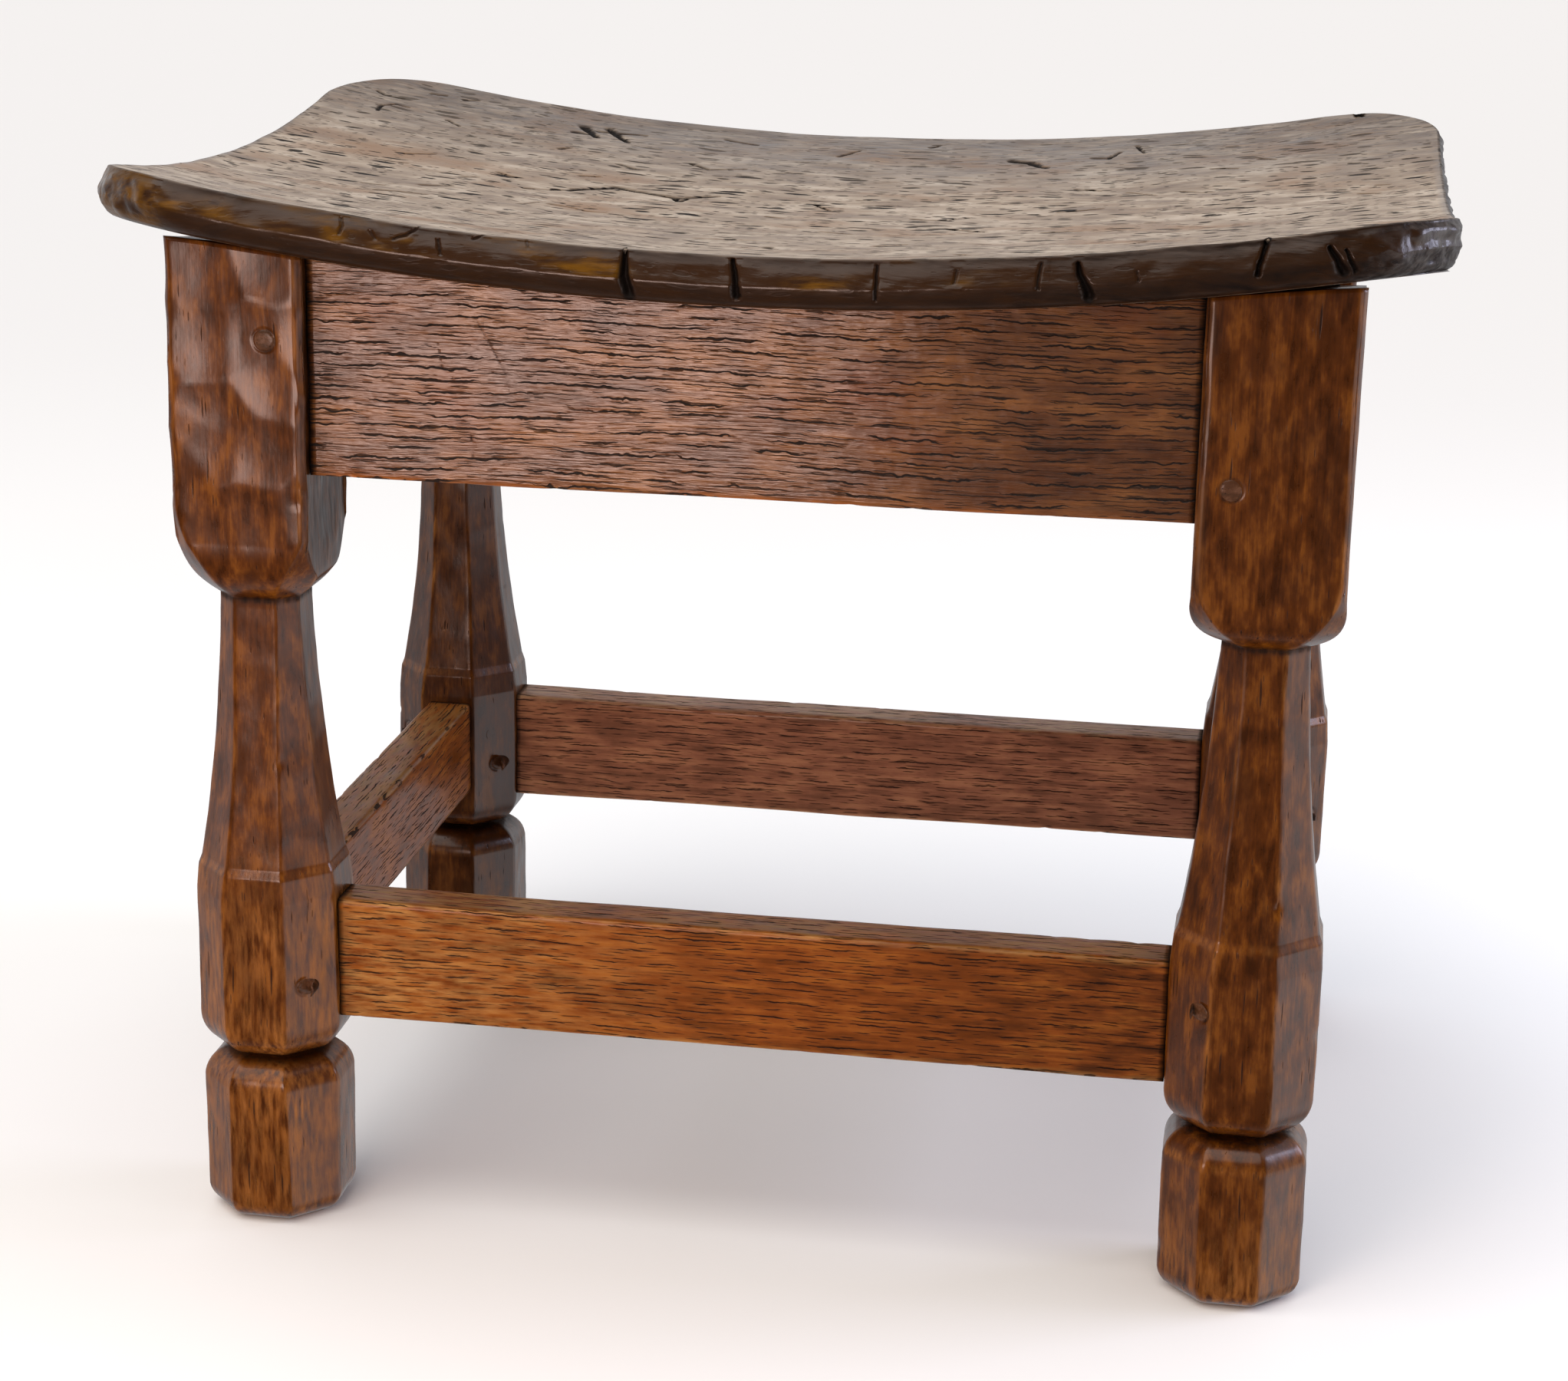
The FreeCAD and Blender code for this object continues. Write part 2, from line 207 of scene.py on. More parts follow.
@dataclass(frozen=True)
class Crack:
    """One crack on a face: its line, its half widths at both ends and its depth, in millimetres."""

    line: tuple[tuple[float, float], ...]
    width: tuple[float, float] = (0.35, 0.35)
    deep: float = 0.8


def cracked(cracks: tuple[Crack, ...], places: np.ndarray, reach: float = 6.0) -> tuple[np.ndarray, np.ndarray]:
    """Find how cracks cut a face.

    Args:
        cracks: The cracks of the face.
        places: Places on the face, one row each.
        reach: How far round a crack its distance is worked out.

    Returns:
        Depth of the cut and distance from the nearest crack, for each place.
    """
    depth, away = np.zeros(len(places)), np.full(len(places), FAR)
    for crack in cracks:
        nodes = np.array(crack.line, float)
        within = (places > nodes.min(axis=0) - reach) & (places < nodes.max(axis=0) + reach)
        close = np.flatnonzero(within.all(axis=1))
        runs = np.linalg.norm(np.diff(nodes, axis=0), axis=1)
        done = 0.0
        for start, end, run in zip(nodes[:-1], nodes[1:], runs):
            share = np.clip((places[close] - start) @ (end - start) / run ** 2, 0, 1)
            off = np.linalg.norm(places[close] - start - share[:, None] * (end - start), axis=1)
            along = (done + share * run) / runs.sum()
            half = crack.width[0] + (crack.width[1] - crack.width[0]) * along
            depth[close] = np.maximum(depth[close], crack.deep * bell(off, half))
            away[close] = np.minimum(away[close], off)
            done += run
    return depth, away


def nicked(points: np.ndarray, among: int, seed: int, count: int, radii: tuple[float, float],
           depths: tuple[float, float]) -> np.ndarray:
    """Dent a piece in many small places.

    Args:
        points: The vertices of the piece.
        among: How many of them, from the first on, a dent may sit at.
        seed: Seed of the dents.
        count: How many dents there are.
        radii: Smallest and largest radius.
        depths: Smallest and largest depth.

    Returns:
        How deep each vertex is dented.
    """
    dice = np.random.default_rng(seed)
    deep = np.zeros(len(points))
    for _ in range(count):
        off = np.linalg.norm(points - points[dice.integers(among)], axis=1)
        radius = dice.uniform(*radii)
        deep += dice.uniform(*depths) * bell(off, radius)
    return deep


# What feeds an input of a node: a value or another node's output
Feed = bpy.types.NodeSocket | float | tuple[float, ...] | Vector | str


def empty_tree(owner: bpy.types.Material | bpy.types.World) -> bpy.types.NodeTree:
    """Give a material or a world a node tree with nothing in it yet.

    Args:
        owner: The material or the world.

    Returns:
        Its node tree.
    """
    owner.use_nodes = True
    owner.node_tree.nodes.clear()
    return owner.node_tree


def add(tree: bpy.types.NodeTree, kind: str, *feeds: Feed, named: dict[str | int, Feed] | None = None,
        out: str | int = 0, **settings: str | bool) -> bpy.types.NodeSocket | None:
    """Add a node with its settings and links.

    Args:
        tree: The node tree.
        kind: Blender's name of the node type, without the "ShaderNode" in front.
        feeds: For the inputs in order, a value or the output socket that feeds each.
        named: The same for inputs by name or number.
        out: Which of its outputs is wanted, by name or number.
        settings: Values for the node's own properties.

    Returns:
        The wanted output, or nothing where the node has none.
    """
    node = tree.nodes.new(f"ShaderNode{kind}")
    for key, value in settings.items():
        setattr(node, key, value)
    for key, value in {**dict(enumerate(feeds)), **(named or {})}.items():
        if isinstance(value, bpy.types.NodeSocket):
            tree.links.new(value, node.inputs[key])
        else:
            node.inputs[key].default_value = value
    return node.outputs[out] if node.outputs else None


@dataclass(frozen=True)
class Pores:
    """Open pores and pits: separate spindle-shaped marks along the grain.

    Their spacing along and across the grain, how many of the places are taken, how dark they are,
    how much they crowd together in some zones, how far their line wavers, and the half size of the
    largest as a share of the spacing. In rows they stand in line along the growth rings.
    """

    spacing_mm: tuple[float, float]
    cover: float
    tone: float
    crowd: float = 0.3
    waver_mm: float = 0.0
    largest: float = 0.3
    rows: bool = False


@dataclass(frozen=True)
class OakFinish:
    """Oak, and how its surface was made and has aged.

    European oak has early wood full of open pores, which fill with dark wax and read as broken lines
    along the grain. Hand-planed and adzed faces keep low hollows, and a century of wax and hands
    polishes the arrises paler and the flats darker.
    """

    name: str
    slot: str
    deep: str
    main: str
    light: str
    patch: str
    worn: str
    stain: str = "33200f"
    grime: str = "120a06"
    ring_mm: float = 3.6
    ring_share: float = 0.25
    fibre_mm: tuple[float, float] = (26.0, 0.9)
    fibre_share: float = 0.5
    mottle_mm: float = 14.0
    patch_mm: float = 45.0
    patch_cover: float = 0.5
    wave_mm: float = 5.0
    broken_mm: float = 3.0
    pores: tuple[Pores, ...] = (Pores((18.0, 1.7), 0.4, 0.7),)
    roughness: tuple[float, float] = (0.34, 0.5)
    gloss: float = 0.25
    wax: float = 0.4
    wax_roughness: float = 0.18
    burnished: float = 0.0
    fibre_relief: float = 0.3
    ripple_mm: float = 4.5
    relief_mm: float = 0.16

    def made(self, grain: Grain, place: int, centre: np.ndarray, pith: tuple[float, float],
             tone_and_painted_light: float = 1.0, richness: float = 1.0) -> bpy.types.Material:
        """Build the material for one piece.

        Args:
            grain: Which way the grain of the piece runs.
            place: Number of the piece, so that no two are cut from the same stretch of the log.
            centre: Middle of the piece, in millimetres.
            pith: Where the piece sits from the middle of the log, across the grain, in millimetres.
            tone_and_painted_light: How light this board is beside the others, partly its own tone, partly painted
                light and shadow.
            richness: How strong its colour is beside theirs, partly its own colour, partly painted light.

        Returns:
            The material, with procedural colour, roughness and relief.
        """
        material = bpy.data.materials.new(f"{self.name}_{place}")
        tree = empty_tree(material)
        board, radius = self.laid(tree, grain, place, centre, pith)
        mottle = self.stretched(tree, board, 2.4 * self.mottle_mm, self.mottle_mm, 4.0)
        fibre = self.stretched(tree, board, *self.fibre_mm, 3.0)
        colour = self.figured(tree, radius, mottle, fibre)

        # Patches where wax, light and hands have changed the tone, what the piece itself marks, painted darkening
        # among it, and open pores, which stain and polish fill
        patch = self.stretched(tree, board, 1.7 * self.patch_mm, self.patch_mm, 4.0)
        patch = add(tree, "MapRange", patch, 0.62 - 0.24 * self.patch_cover, 0.8 - 0.2 * self.patch_cover,
                    interpolation_type="SMOOTHSTEP")
        wear, stain, grime = self.marked(tree, board)
        pores, *others = (self.pore_mask(tree, board, radius, mottle, kind) for kind in self.pores)
        for other in others:
            pores = add(tree, "Math", pores, other, operation="MAXIMUM")
        clear = add(tree, "Math", stain, -0.85, 1.0, operation="MULTIPLY_ADD")
        pores = add(tree, "Math", pores, clear, operation="MULTIPLY")
        for factor, code in ((patch, self.patch), (stain, self.stain), (wear, self.worn), (pores, self.grime),
                             (grime, self.grime)):
            colour = add(tree, "Mix", factor, named={6: colour, 7: linear(code)}, out=2, data_type="RGBA")
        # Light and strength of colour of this one piece: partly its own tone, partly painted light and shadow
        colour = add(tree, "HueSaturation", named={"Color": colour, "Value": tone_and_painted_light, "Saturation": richness})

        # Pores, dirt and painted darkening are duller, worn and burnished places smoother, and neither pores nor
        # these take the wax
        rough = add(tree, "MapRange", mottle, 0.3, 0.7, *self.roughness)
        for factor, change in ((pores, 0.3), (grime, 0.25), (wear, -0.06), (stain, -self.burnished / 4)):
            rough = add(tree, "Math", factor, change, rough, operation="MULTIPLY_ADD", use_clamp=True)
        ripple = self.stretched(tree, board, 1.6 * self.ripple_mm, self.ripple_mm, 2.0)
        height = add(tree, "Math", pores, -1.0, ripple, operation="MULTIPLY_ADD")
        height = add(tree, "Math", fibre, self.fibre_relief, height, operation="MULTIPLY_ADD")
        # The wax half fills the pores, so that its own surface is smoother than the wood's
        wood, skin = (add(tree, "Bump", named={"Height": height, "Distance": share * self.relief_mm * MM})
                      for share in (1.0, 0.3))
        dull = add(tree, "Math", pores, grime, operation="MAXIMUM")
        bare = add(tree, "Math", wear, 0.5, operation="MULTIPLY")
        dull = add(tree, "Math", dull, bare, operation="MAXIMUM")
        rubbed = add(tree, "Math", stain, self.burnished, self.wax, operation="MULTIPLY_ADD")
        wax = add(tree, "MapRange", dull, 0.0, 0.7, rubbed, 0.0)
        shader = add(tree, "BsdfPrincipled", named={
            "Base Color": colour, "Roughness": rough, "Normal": wood, "IOR": 1.5, "Specular IOR Level": self.gloss,
            "Coat Weight": wax, "Coat Roughness": self.wax_roughness, "Coat IOR": 1.45, "Coat Normal": skin})
        add(tree, "OutputMaterial", shader)
        return material

    def laid(self, tree: bpy.types.NodeTree, grain: Grain, place: int, centre: np.ndarray,
             pith: tuple[float, float]) -> tuple[bpy.types.NodeSocket, bpy.types.NodeSocket]:
        """Lay the piece in its log, whose grain waves a little.

        Args:
            tree: Node tree of the material.
            grain: Which way the grain of the piece runs.
            place: Number of the piece.
            centre: Middle of the piece, in millimetres.
            pith: Where the piece sits from the middle of the log, across the grain, in millimetres.

        Returns:
            Places in the board, with the grain along X, and their distance from the middle of the log.
        """
        turn = Matrix.Rotation(grain.value[1], 3, "Y") @ Matrix.Rotation(grain.value[2], 3, "Z")
        shift = Vector((0.37 * place, pith[0] * MM, pith[1] * MM)) - turn @ Vector(centre * MM)
        spot = add(tree, "TexCoord", out="Object")
        board = add(tree, "Mapping", spot, named={"Location": shift, "Rotation": grain.value})
        waves = self.stretched(tree, board, 120.0, 38.0, 2.0, "Color")
        board = add(tree, "VectorMath", waves, (0.0, self.wave_mm * MM, self.wave_mm * MM), board,
                    operation="MULTIPLY_ADD")
        across = add(tree, "VectorMath", board, (0.0, 1.0, 1.0), operation="MULTIPLY")
        return board, add(tree, "VectorMath", across, out=1, operation="LENGTH")

    def figured(self, tree: bpy.types.NodeTree, radius: bpy.types.NodeSocket, mottle: bpy.types.NodeSocket,
                fibre: bpy.types.NodeSocket) -> bpy.types.NodeSocket:
        """Colour of the plain wood: soft mottling, fibres, and one paler band for each growth ring.

        Args:
            tree: Node tree of the material.
            radius: Distance of each place from the middle of the log.
            mottle: Pattern of the mottling.
            fibre: Pattern of the fibres.

        Returns:
            The colour.
        """
        ring = add(tree, "Math", radius, 2 * math.pi / (self.ring_mm * MM), operation="MULTIPLY")
        ring = add(tree, "Math", ring, operation="SINE")
        figure = add(tree, "Math", ring, self.ring_share / 4, mottle, operation="MULTIPLY_ADD")
        figure = add(tree, "Math", fibre, self.fibre_share, figure, operation="MULTIPLY_ADD")
        figure = add(tree, "Math", figure, self.fibre_share / 2, operation="SUBTRACT")
        colour = add(tree, "ValToRGB", figure)
        ramp = colour.node.color_ramp.elements
        for position, code in ((0.32, self.deep), (0.5, self.main), (0.68, self.light)):
            ramp.new(position).color = linear(code)
        ramp.remove(ramp[-1])
        ramp.remove(ramp[0])
        return colour

    def marked(self, tree: bpy.types.NodeTree, board: bpy.types.NodeSocket) -> list[bpy.types.NodeSocket]:
        """Wear, stain, and dirt with painted shading that the piece carries, broken up along their borders, each to
        its own share.

        Args:
            tree: Node tree of the material.
            board: Places in the board, with the grain along X.

        Returns:
            How rubbed, how stained, and how much dirt and painted shading each place has, from 0 to 1.
        """
        broken = self.stretched(tree, board, 6 * self.broken_mm, self.broken_mm, 4.0)
        marks = []
        for key, share in zip(MARKS, (8.0, 3.0, 4.0)):
            mark = add(tree, "Attribute", out="Fac", attribute_name=key)
            torn = add(tree, "Math", broken, share, -0.5 * share, operation="MULTIPLY_ADD")
            border = add(tree, "Math", mark, 0.5, operation="PINGPONG")
            marks.append(add(tree, "Math", torn, border, mark, operation="MULTIPLY_ADD", use_clamp=True))
        return marks

    @staticmethod
    def stretched(tree: bpy.types.NodeTree, board: bpy.types.NodeSocket, length: float, width: float,
                  detail: float, out: str | int = 0) -> bpy.types.NodeSocket:
        """Cloudy pattern drawn out along the grain.

        Args:
            tree: Node tree of the material.
            board: Places in the board, with the grain along X.
            length: Size of a cloud along the grain, in millimetres.
            width: Size across it.
            detail: How many finer layers it has.
            out: Which output of the noise is wanted: its value, or the three in its colour.

        Returns:
            The noise.
        """
        scale = tuple(1 / (size * MM) for size in (length, width, width))
        scaled = add(tree, "Mapping", board, named={"Scale": scale})
        return add(tree, "TexNoise", scaled, out=out, named={"Scale": 1.0, "Detail": detail, "Roughness": 0.55})

    def pore_mask(self, tree: bpy.types.NodeTree, board: bpy.types.NodeSocket, radius: bpy.types.NodeSocket,
                  zones: bpy.types.NodeSocket, pores: Pores) -> bpy.types.NodeSocket:
        """Separate dark marks, scattered or in rows, that crowd together in some zones.

        Args:
            tree: Node tree of the material.
            board: Places in the board, with the grain along X.
            radius: Distance of each place from the middle of the log.
            zones: Pattern, about 0.5 on average, that is high where marks crowd.
            pores: Their spacing, number and tone.

        Returns:
            Socket that is 0 on plain wood and up to the pores' tone in a mark.
        """
        length, width = (size * MM for size in pores.spacing_mm)
        waver = pores.waver_mm * MM
        if pores.rows:
            line = add(tree, "Math", self.stretched(tree, board, 5.0, 4.0, 2.0), waver / width, operation="MULTIPLY")
            line = add(tree, "Math", radius, 1 / width, line, operation="MULTIPLY_ADD")
            number = add(tree, "Math", line, operation="FLOOR")
            away = add(tree, "Math", line, number, operation="SUBTRACT")
            away = add(tree, "Math", away, 0.5, operation="SUBTRACT")
            away = add(tree, "Math", away, operation="ABSOLUTE")
            place = add(tree, "CombineXYZ", add(tree, "SeparateXYZ", board), number)
            place = add(tree, "Mapping", place, named={"Scale": (1 / length, 7.31, 1.0)})
            chance = add(tree, "TexNoise", place, noise_dimensions="2D", named={"Scale": 1.0, "Detail": 1.5})
            edge, ramp, soft, crowd = 0.66 - 0.32 * pores.cover + pores.crowd / 2, 0.16, 0.05, pores.crowd
        else:
            bent = add(tree, "VectorMath", self.stretched(tree, board, 5.0, 4.0, 2.0, "Color"), (0.0, waver, waver),
                       board, operation="MULTIPLY_ADD")
            cells = add(tree, "Mapping", bent, named={"Scale": (1 / length, 1 / width, 1 / width)})
            away = add(tree, "TexVoronoi", cells, named={"Scale": 1.0})
            chance = add(tree, "SeparateColor", away.node.outputs["Color"])
            edge, ramp, soft, crowd = 1 - pores.cover + pores.crowd * 1.5, 0.35, 0.08, 3 * pores.crowd
        chance = add(tree, "Math", zones, crowd, chance, operation="MULTIPLY_ADD")
        size = add(tree, "MapRange", chance, edge, edge + ramp, -0.01, pores.largest)
        inside = add(tree, "Math", size, away, operation="SUBTRACT")
        return add(tree, "MapRange", inside, 0.0, soft, 0.0, pores.tone)


# Fumed oak: ammonia turned it grey-brown, then a century of sitting polished it. Taupe, satin, mottled,
# with short open pits, and an edge that hands have darkened and burnished with gold showing through
FUMED_SEAT = OakFinish("fumed_oak_seat", "seat_oak", deep="77624f", main="9c8975", light="bdad9b", patch="8e7055",
                       worn="64430f", stain="311b07", mottle_mm=10.0, patch_mm=38.0, patch_cover=0.5,
                       fibre_mm=(14.0, 1.6), fibre_share=0.3, ring_share=0.0, wave_mm=24.0, broken_mm=2.5,
                       pores=(Pores((22.0, 4.6), 0.68, 1.0, 0.5, 1.2, 0.32),
                              Pores((11.0, 2.8), 0.66, 0.95, 0.5, 0.8, 0.32),
                              Pores((5.0, 1.4), 0.6, 0.85, 0.4)),
                       roughness=(0.38, 0.55), gloss=0.15, wax=0.05, wax_roughness=0.16, burnished=0.5,
                       ripple_mm=7.0, relief_mm=0.5)
# Waxed oak of the legs: riven square, faceted with a drawknife, red-brown with orange under the wax
WAXED_LEG = OakFinish("waxed_oak_leg", "leg_oak", deep="3f1d02", main="5a2c02", light="7b4406", patch="4a2302",
                      worn="a3672e", mottle_mm=5.0, patch_mm=16.0, patch_cover=0.4, fibre_mm=(14.0, 0.9),
                      fibre_share=0.4, ring_share=0.05, broken_mm=2.0,
                      pores=(Pores((26.0, 1.5), 0.3, 0.7), Pores((8.0, 1.0), 0.3, 0.5, 0.5)),
                      roughness=(0.26, 0.38), gloss=0.15, wax=0.55, relief_mm=0.12)
# Waxed oak of the aprons: planed boards whose open pores stand in long wavering rows
WAXED_APRON = OakFinish("waxed_oak_apron", "apron_oak", deep="50290a", main="683a12", light="84501e",
                        patch="70380c", worn="a85c18", mottle_mm=12.0, patch_cover=0.4, fibre_share=0.35,
                        ring_share=0.1,
                        pores=(Pores((26.0, 3.0), 0.8, 0.95, 0.1, 2.2, 0.1, True),
                               Pores((16.0, 1.2), 0.6, 0.75, 0.2, 1.0, 0.14, True),
                               Pores((12.0, 0.8), 0.6, 0.7, 0.3, 0.8)),
                        roughness=(0.3, 0.4), gloss=0.3, wax=0.95, wax_roughness=0.17, fibre_relief=1.3,
                        wave_mm=7.0, relief_mm=0.5)
# Waxed oak of the stretchers: adzed boards, rubbed paler and more orange by feet and cloths
WAXED_STRETCHER = OakFinish("waxed_oak_stretcher", "stretcher_oak", deep="643209", main="7e400e",
                            light="925216", patch="703708", worn="bd8a4c", mottle_mm=9.0, patch_cover=0.4,
                            fibre_mm=(18.0, 0.8), fibre_share=0.5, broken_mm=2.0,
                            pores=(Pores((17.0, 2.3), 0.6, 0.9, 0.2, 1.2, 0.12, True),
                                   Pores((9.0, 1.0), 0.55, 0.75, 0.2, 0.5, 0.18, True)),
                            roughness=(0.34, 0.46), gloss=0.1, wax=0.3)
# Riven oak pegs: their end grain drinks the wax and goes a little darker and greyer than the legs
RIVEN_PEG = OakFinish("riven_oak_peg", "peg_oak", deep="432a18", main="553520", light="664430", patch="4a2c18",
                      worn="6a4426", mottle_mm=2.0, patch_mm=5.0, fibre_mm=(0.9, 0.9), wave_mm=0.0,
                      pores=(Pores((0.9, 0.9), 0.4, 0.6),), gloss=0.15, wax=0.3, ripple_mm=1.5)
# Sawn oak buttons under the seat: never waxed, pale and dry
SAWN_BUTTON = OakFinish("sawn_oak_button", "button_oak", deep="6b4a2c", main="8f6b44", light="a98457",
                        patch="7a5836", worn="b0905f", roughness=(0.6, 0.8), wax=0.0)


def steel_screw() -> bpy.types.Material:
    """Turned steel screw head, dulled by a century in oak, whose tannin spots it blue-black.

    Returns:
        The material.
    """
    material = bpy.data.materials.new("dulled_steel_screw")
    tree = empty_tree(material)
    spot = add(tree, "TexCoord", out="Object")
    stain = add(tree, "TexNoise", spot, named={"Scale": 1 / (2.5 * MM), "Detail": 4.0})
    tone = add(tree, "Mix", stain, named={6: linear("2b2a2c"), 7: linear("77726b")}, out=2, data_type="RGBA")
    rough = add(tree, "MapRange", stain, 0.0, 1.0, 0.35, 0.6)
    add(tree, "OutputMaterial",
        add(tree, "BsdfPrincipled", named={"Base Color": tone, "Roughness": rough, "Metallic": 1.0}))
    return material


@dataclass
class Skin:
    """Vertices and faces of one piece while it is being built, in millimetres."""

    points: np.ndarray = field(default_factory=lambda: np.zeros((0, 3)))
    faces: list[list[int]] = field(default_factory=list)

    def put(self, points: np.ndarray) -> int:
        """Add vertices, and return the number of the first of them."""
        first = len(self.points)
        self.points = np.concatenate([self.points, points])
        return first

    def weave(self, numbers: np.ndarray, closed: bool = False) -> None:
        """Join a grid of vertex numbers with four-sided faces.

        Args:
            numbers: Vertex numbers, one row for each line of the grid.
            closed: Whether each row is a loop.
        """
        if closed:
            numbers = np.concatenate([numbers, numbers[:, :1]], axis=1)
        quads = np.stack([numbers[:-1, :-1], numbers[:-1, 1:], numbers[1:, 1:], numbers[1:, :-1]], axis=-1)
        self.faces += quads.reshape(-1, 4).tolist()

    def cap(self, ring: np.ndarray, centre: np.ndarray) -> None:
        """Close a ring with triangles round one new vertex."""
        middle = self.put(centre[None, :])
        self.faces += [[int(a), int(b), middle] for a, b in zip(ring, np.roll(ring, -1))]

    def stitch(self, outer: np.ndarray, inner: np.ndarray) -> None:
        """Join two loops of different counts that run the same way round, with triangles.

        Args:
            outer: Vertex numbers of one loop.
            inner: Vertex numbers of the other, which starts at about the same place.
        """
        spans = []
        for loop in (outer, inner):
            steps = np.linalg.norm(self.points[np.roll(loop, -1)] - self.points[loop], axis=1)
            spans.append(np.concatenate([[0.0], np.cumsum(steps) / steps.sum()]))
        i = j = 0
        while i < len(outer) or j < len(inner):
            a, b = int(outer[i % len(outer)]), int(inner[j % len(inner)])
            if j >= len(inner) or (i < len(outer) and spans[0][i + 1] <= spans[1][j + 1]):
                i += 1
                self.faces.append([a, int(outer[i % len(outer)]), b])
            else:
                j += 1
                self.faces.append([a, int(inner[j % len(inner)]), b])

    def refine(self, wanted: np.ndarray, cuts: int) -> None:
        """Divide the faces round the wanted vertices, with no gap towards the rest.

        Args:
            wanted: True for each vertex that needs finer faces round it.
            cuts: How often each edge there is cut.
        """
        mesh = bpy.data.meshes.new("draft")
        mesh.from_pydata(self.points, [], self.faces)
        shape = bmesh.new()
        shape.from_mesh(mesh)
        edges = [edge for edge in shape.edges if wanted[edge.verts[0].index] or wanted[edge.verts[1].index]]
        bmesh.ops.subdivide_edges(shape, edges=edges, cuts=cuts, use_grid_fill=True)
        shape.to_mesh(mesh)
        shape.free()
        self.points = np.array([vertex.co[:] for vertex in mesh.vertices])
        self.faces = [list(face.vertices) for face in mesh.polygons]
        bpy.data.meshes.remove(mesh)

    def piece(self, name: str, node: str, material: bpy.types.Material, slot: str, **marks: np.ndarray) -> None:
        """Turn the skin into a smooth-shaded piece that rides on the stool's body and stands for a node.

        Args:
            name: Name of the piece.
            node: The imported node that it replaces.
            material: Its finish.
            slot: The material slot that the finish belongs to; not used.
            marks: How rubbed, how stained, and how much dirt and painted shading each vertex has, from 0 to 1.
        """
        mesh = bpy.data.meshes.new(name)
        mesh.from_pydata(self.points * MM, [], self.faces)
        for key in MARKS:
            layer = mesh.attributes.new(key, "FLOAT", "POINT")
            values = np.clip(marks.get(key, np.zeros(len(self.points))), 0, 1)
            layer.data.foreach_set("value", values.astype(np.float32))
        mesh.materials.append(material)
        mesh.polygons.foreach_set("use_smooth", np.ones(len(mesh.polygons), bool))
        mesh.update()
        mesh.validate()
        piece = bpy.data.objects.new(name, mesh)
        bpy.context.scene.collection.objects.link(piece)
        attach(piece, ROOT)
        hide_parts(node)
        LOG.info("%s: %d vertices", name, len(mesh.vertices))


def node_box(node: str) -> tuple[np.ndarray, np.ndarray]:
    """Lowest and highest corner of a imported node, in millimetres."""
    low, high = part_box(node)
    return np.array(low) / MM, np.array(high) / MM


@dataclass
class Dish:
    """The two dished faces of the seat, as heights over the plan."""

    half_length: float
    half_depth: float
    top_centre: float = 353.5
    thickness: float = 13.0
    top_rises: tuple[float, float, float] = (18.0, 12.0, 7.0)
    under_rises: tuple[float, float, float] = (14.0, 8.0, 10.5)

    def height(self, x: np.ndarray, y: np.ndarray, centre: float, rises: tuple[float, float, float]) -> np.ndarray:
        """Height of one dished face over places in the plan.

        Args:
            x: Places along the seat.
            y: Places across it.
            centre: Height of the face's middle.
            rises: How much higher the ends, the long edges and, beyond both, the corners stand.

        Returns:
            The heights.
        """
        along = (x / self.half_length) ** 2
        across = (y / self.half_depth) ** 2
        return centre + rises[0] * along + rises[1] * across + rises[2] * along * across

    def top(self, x: np.ndarray, y: np.ndarray) -> np.ndarray:
        """Height of the top face."""
        return self.height(x, y, self.top_centre, self.top_rises)

    def under(self, x: np.ndarray, y: np.ndarray) -> np.ndarray:
        """Height of the underside."""
        return self.height(x, y, self.top_centre - self.thickness, self.under_rises)


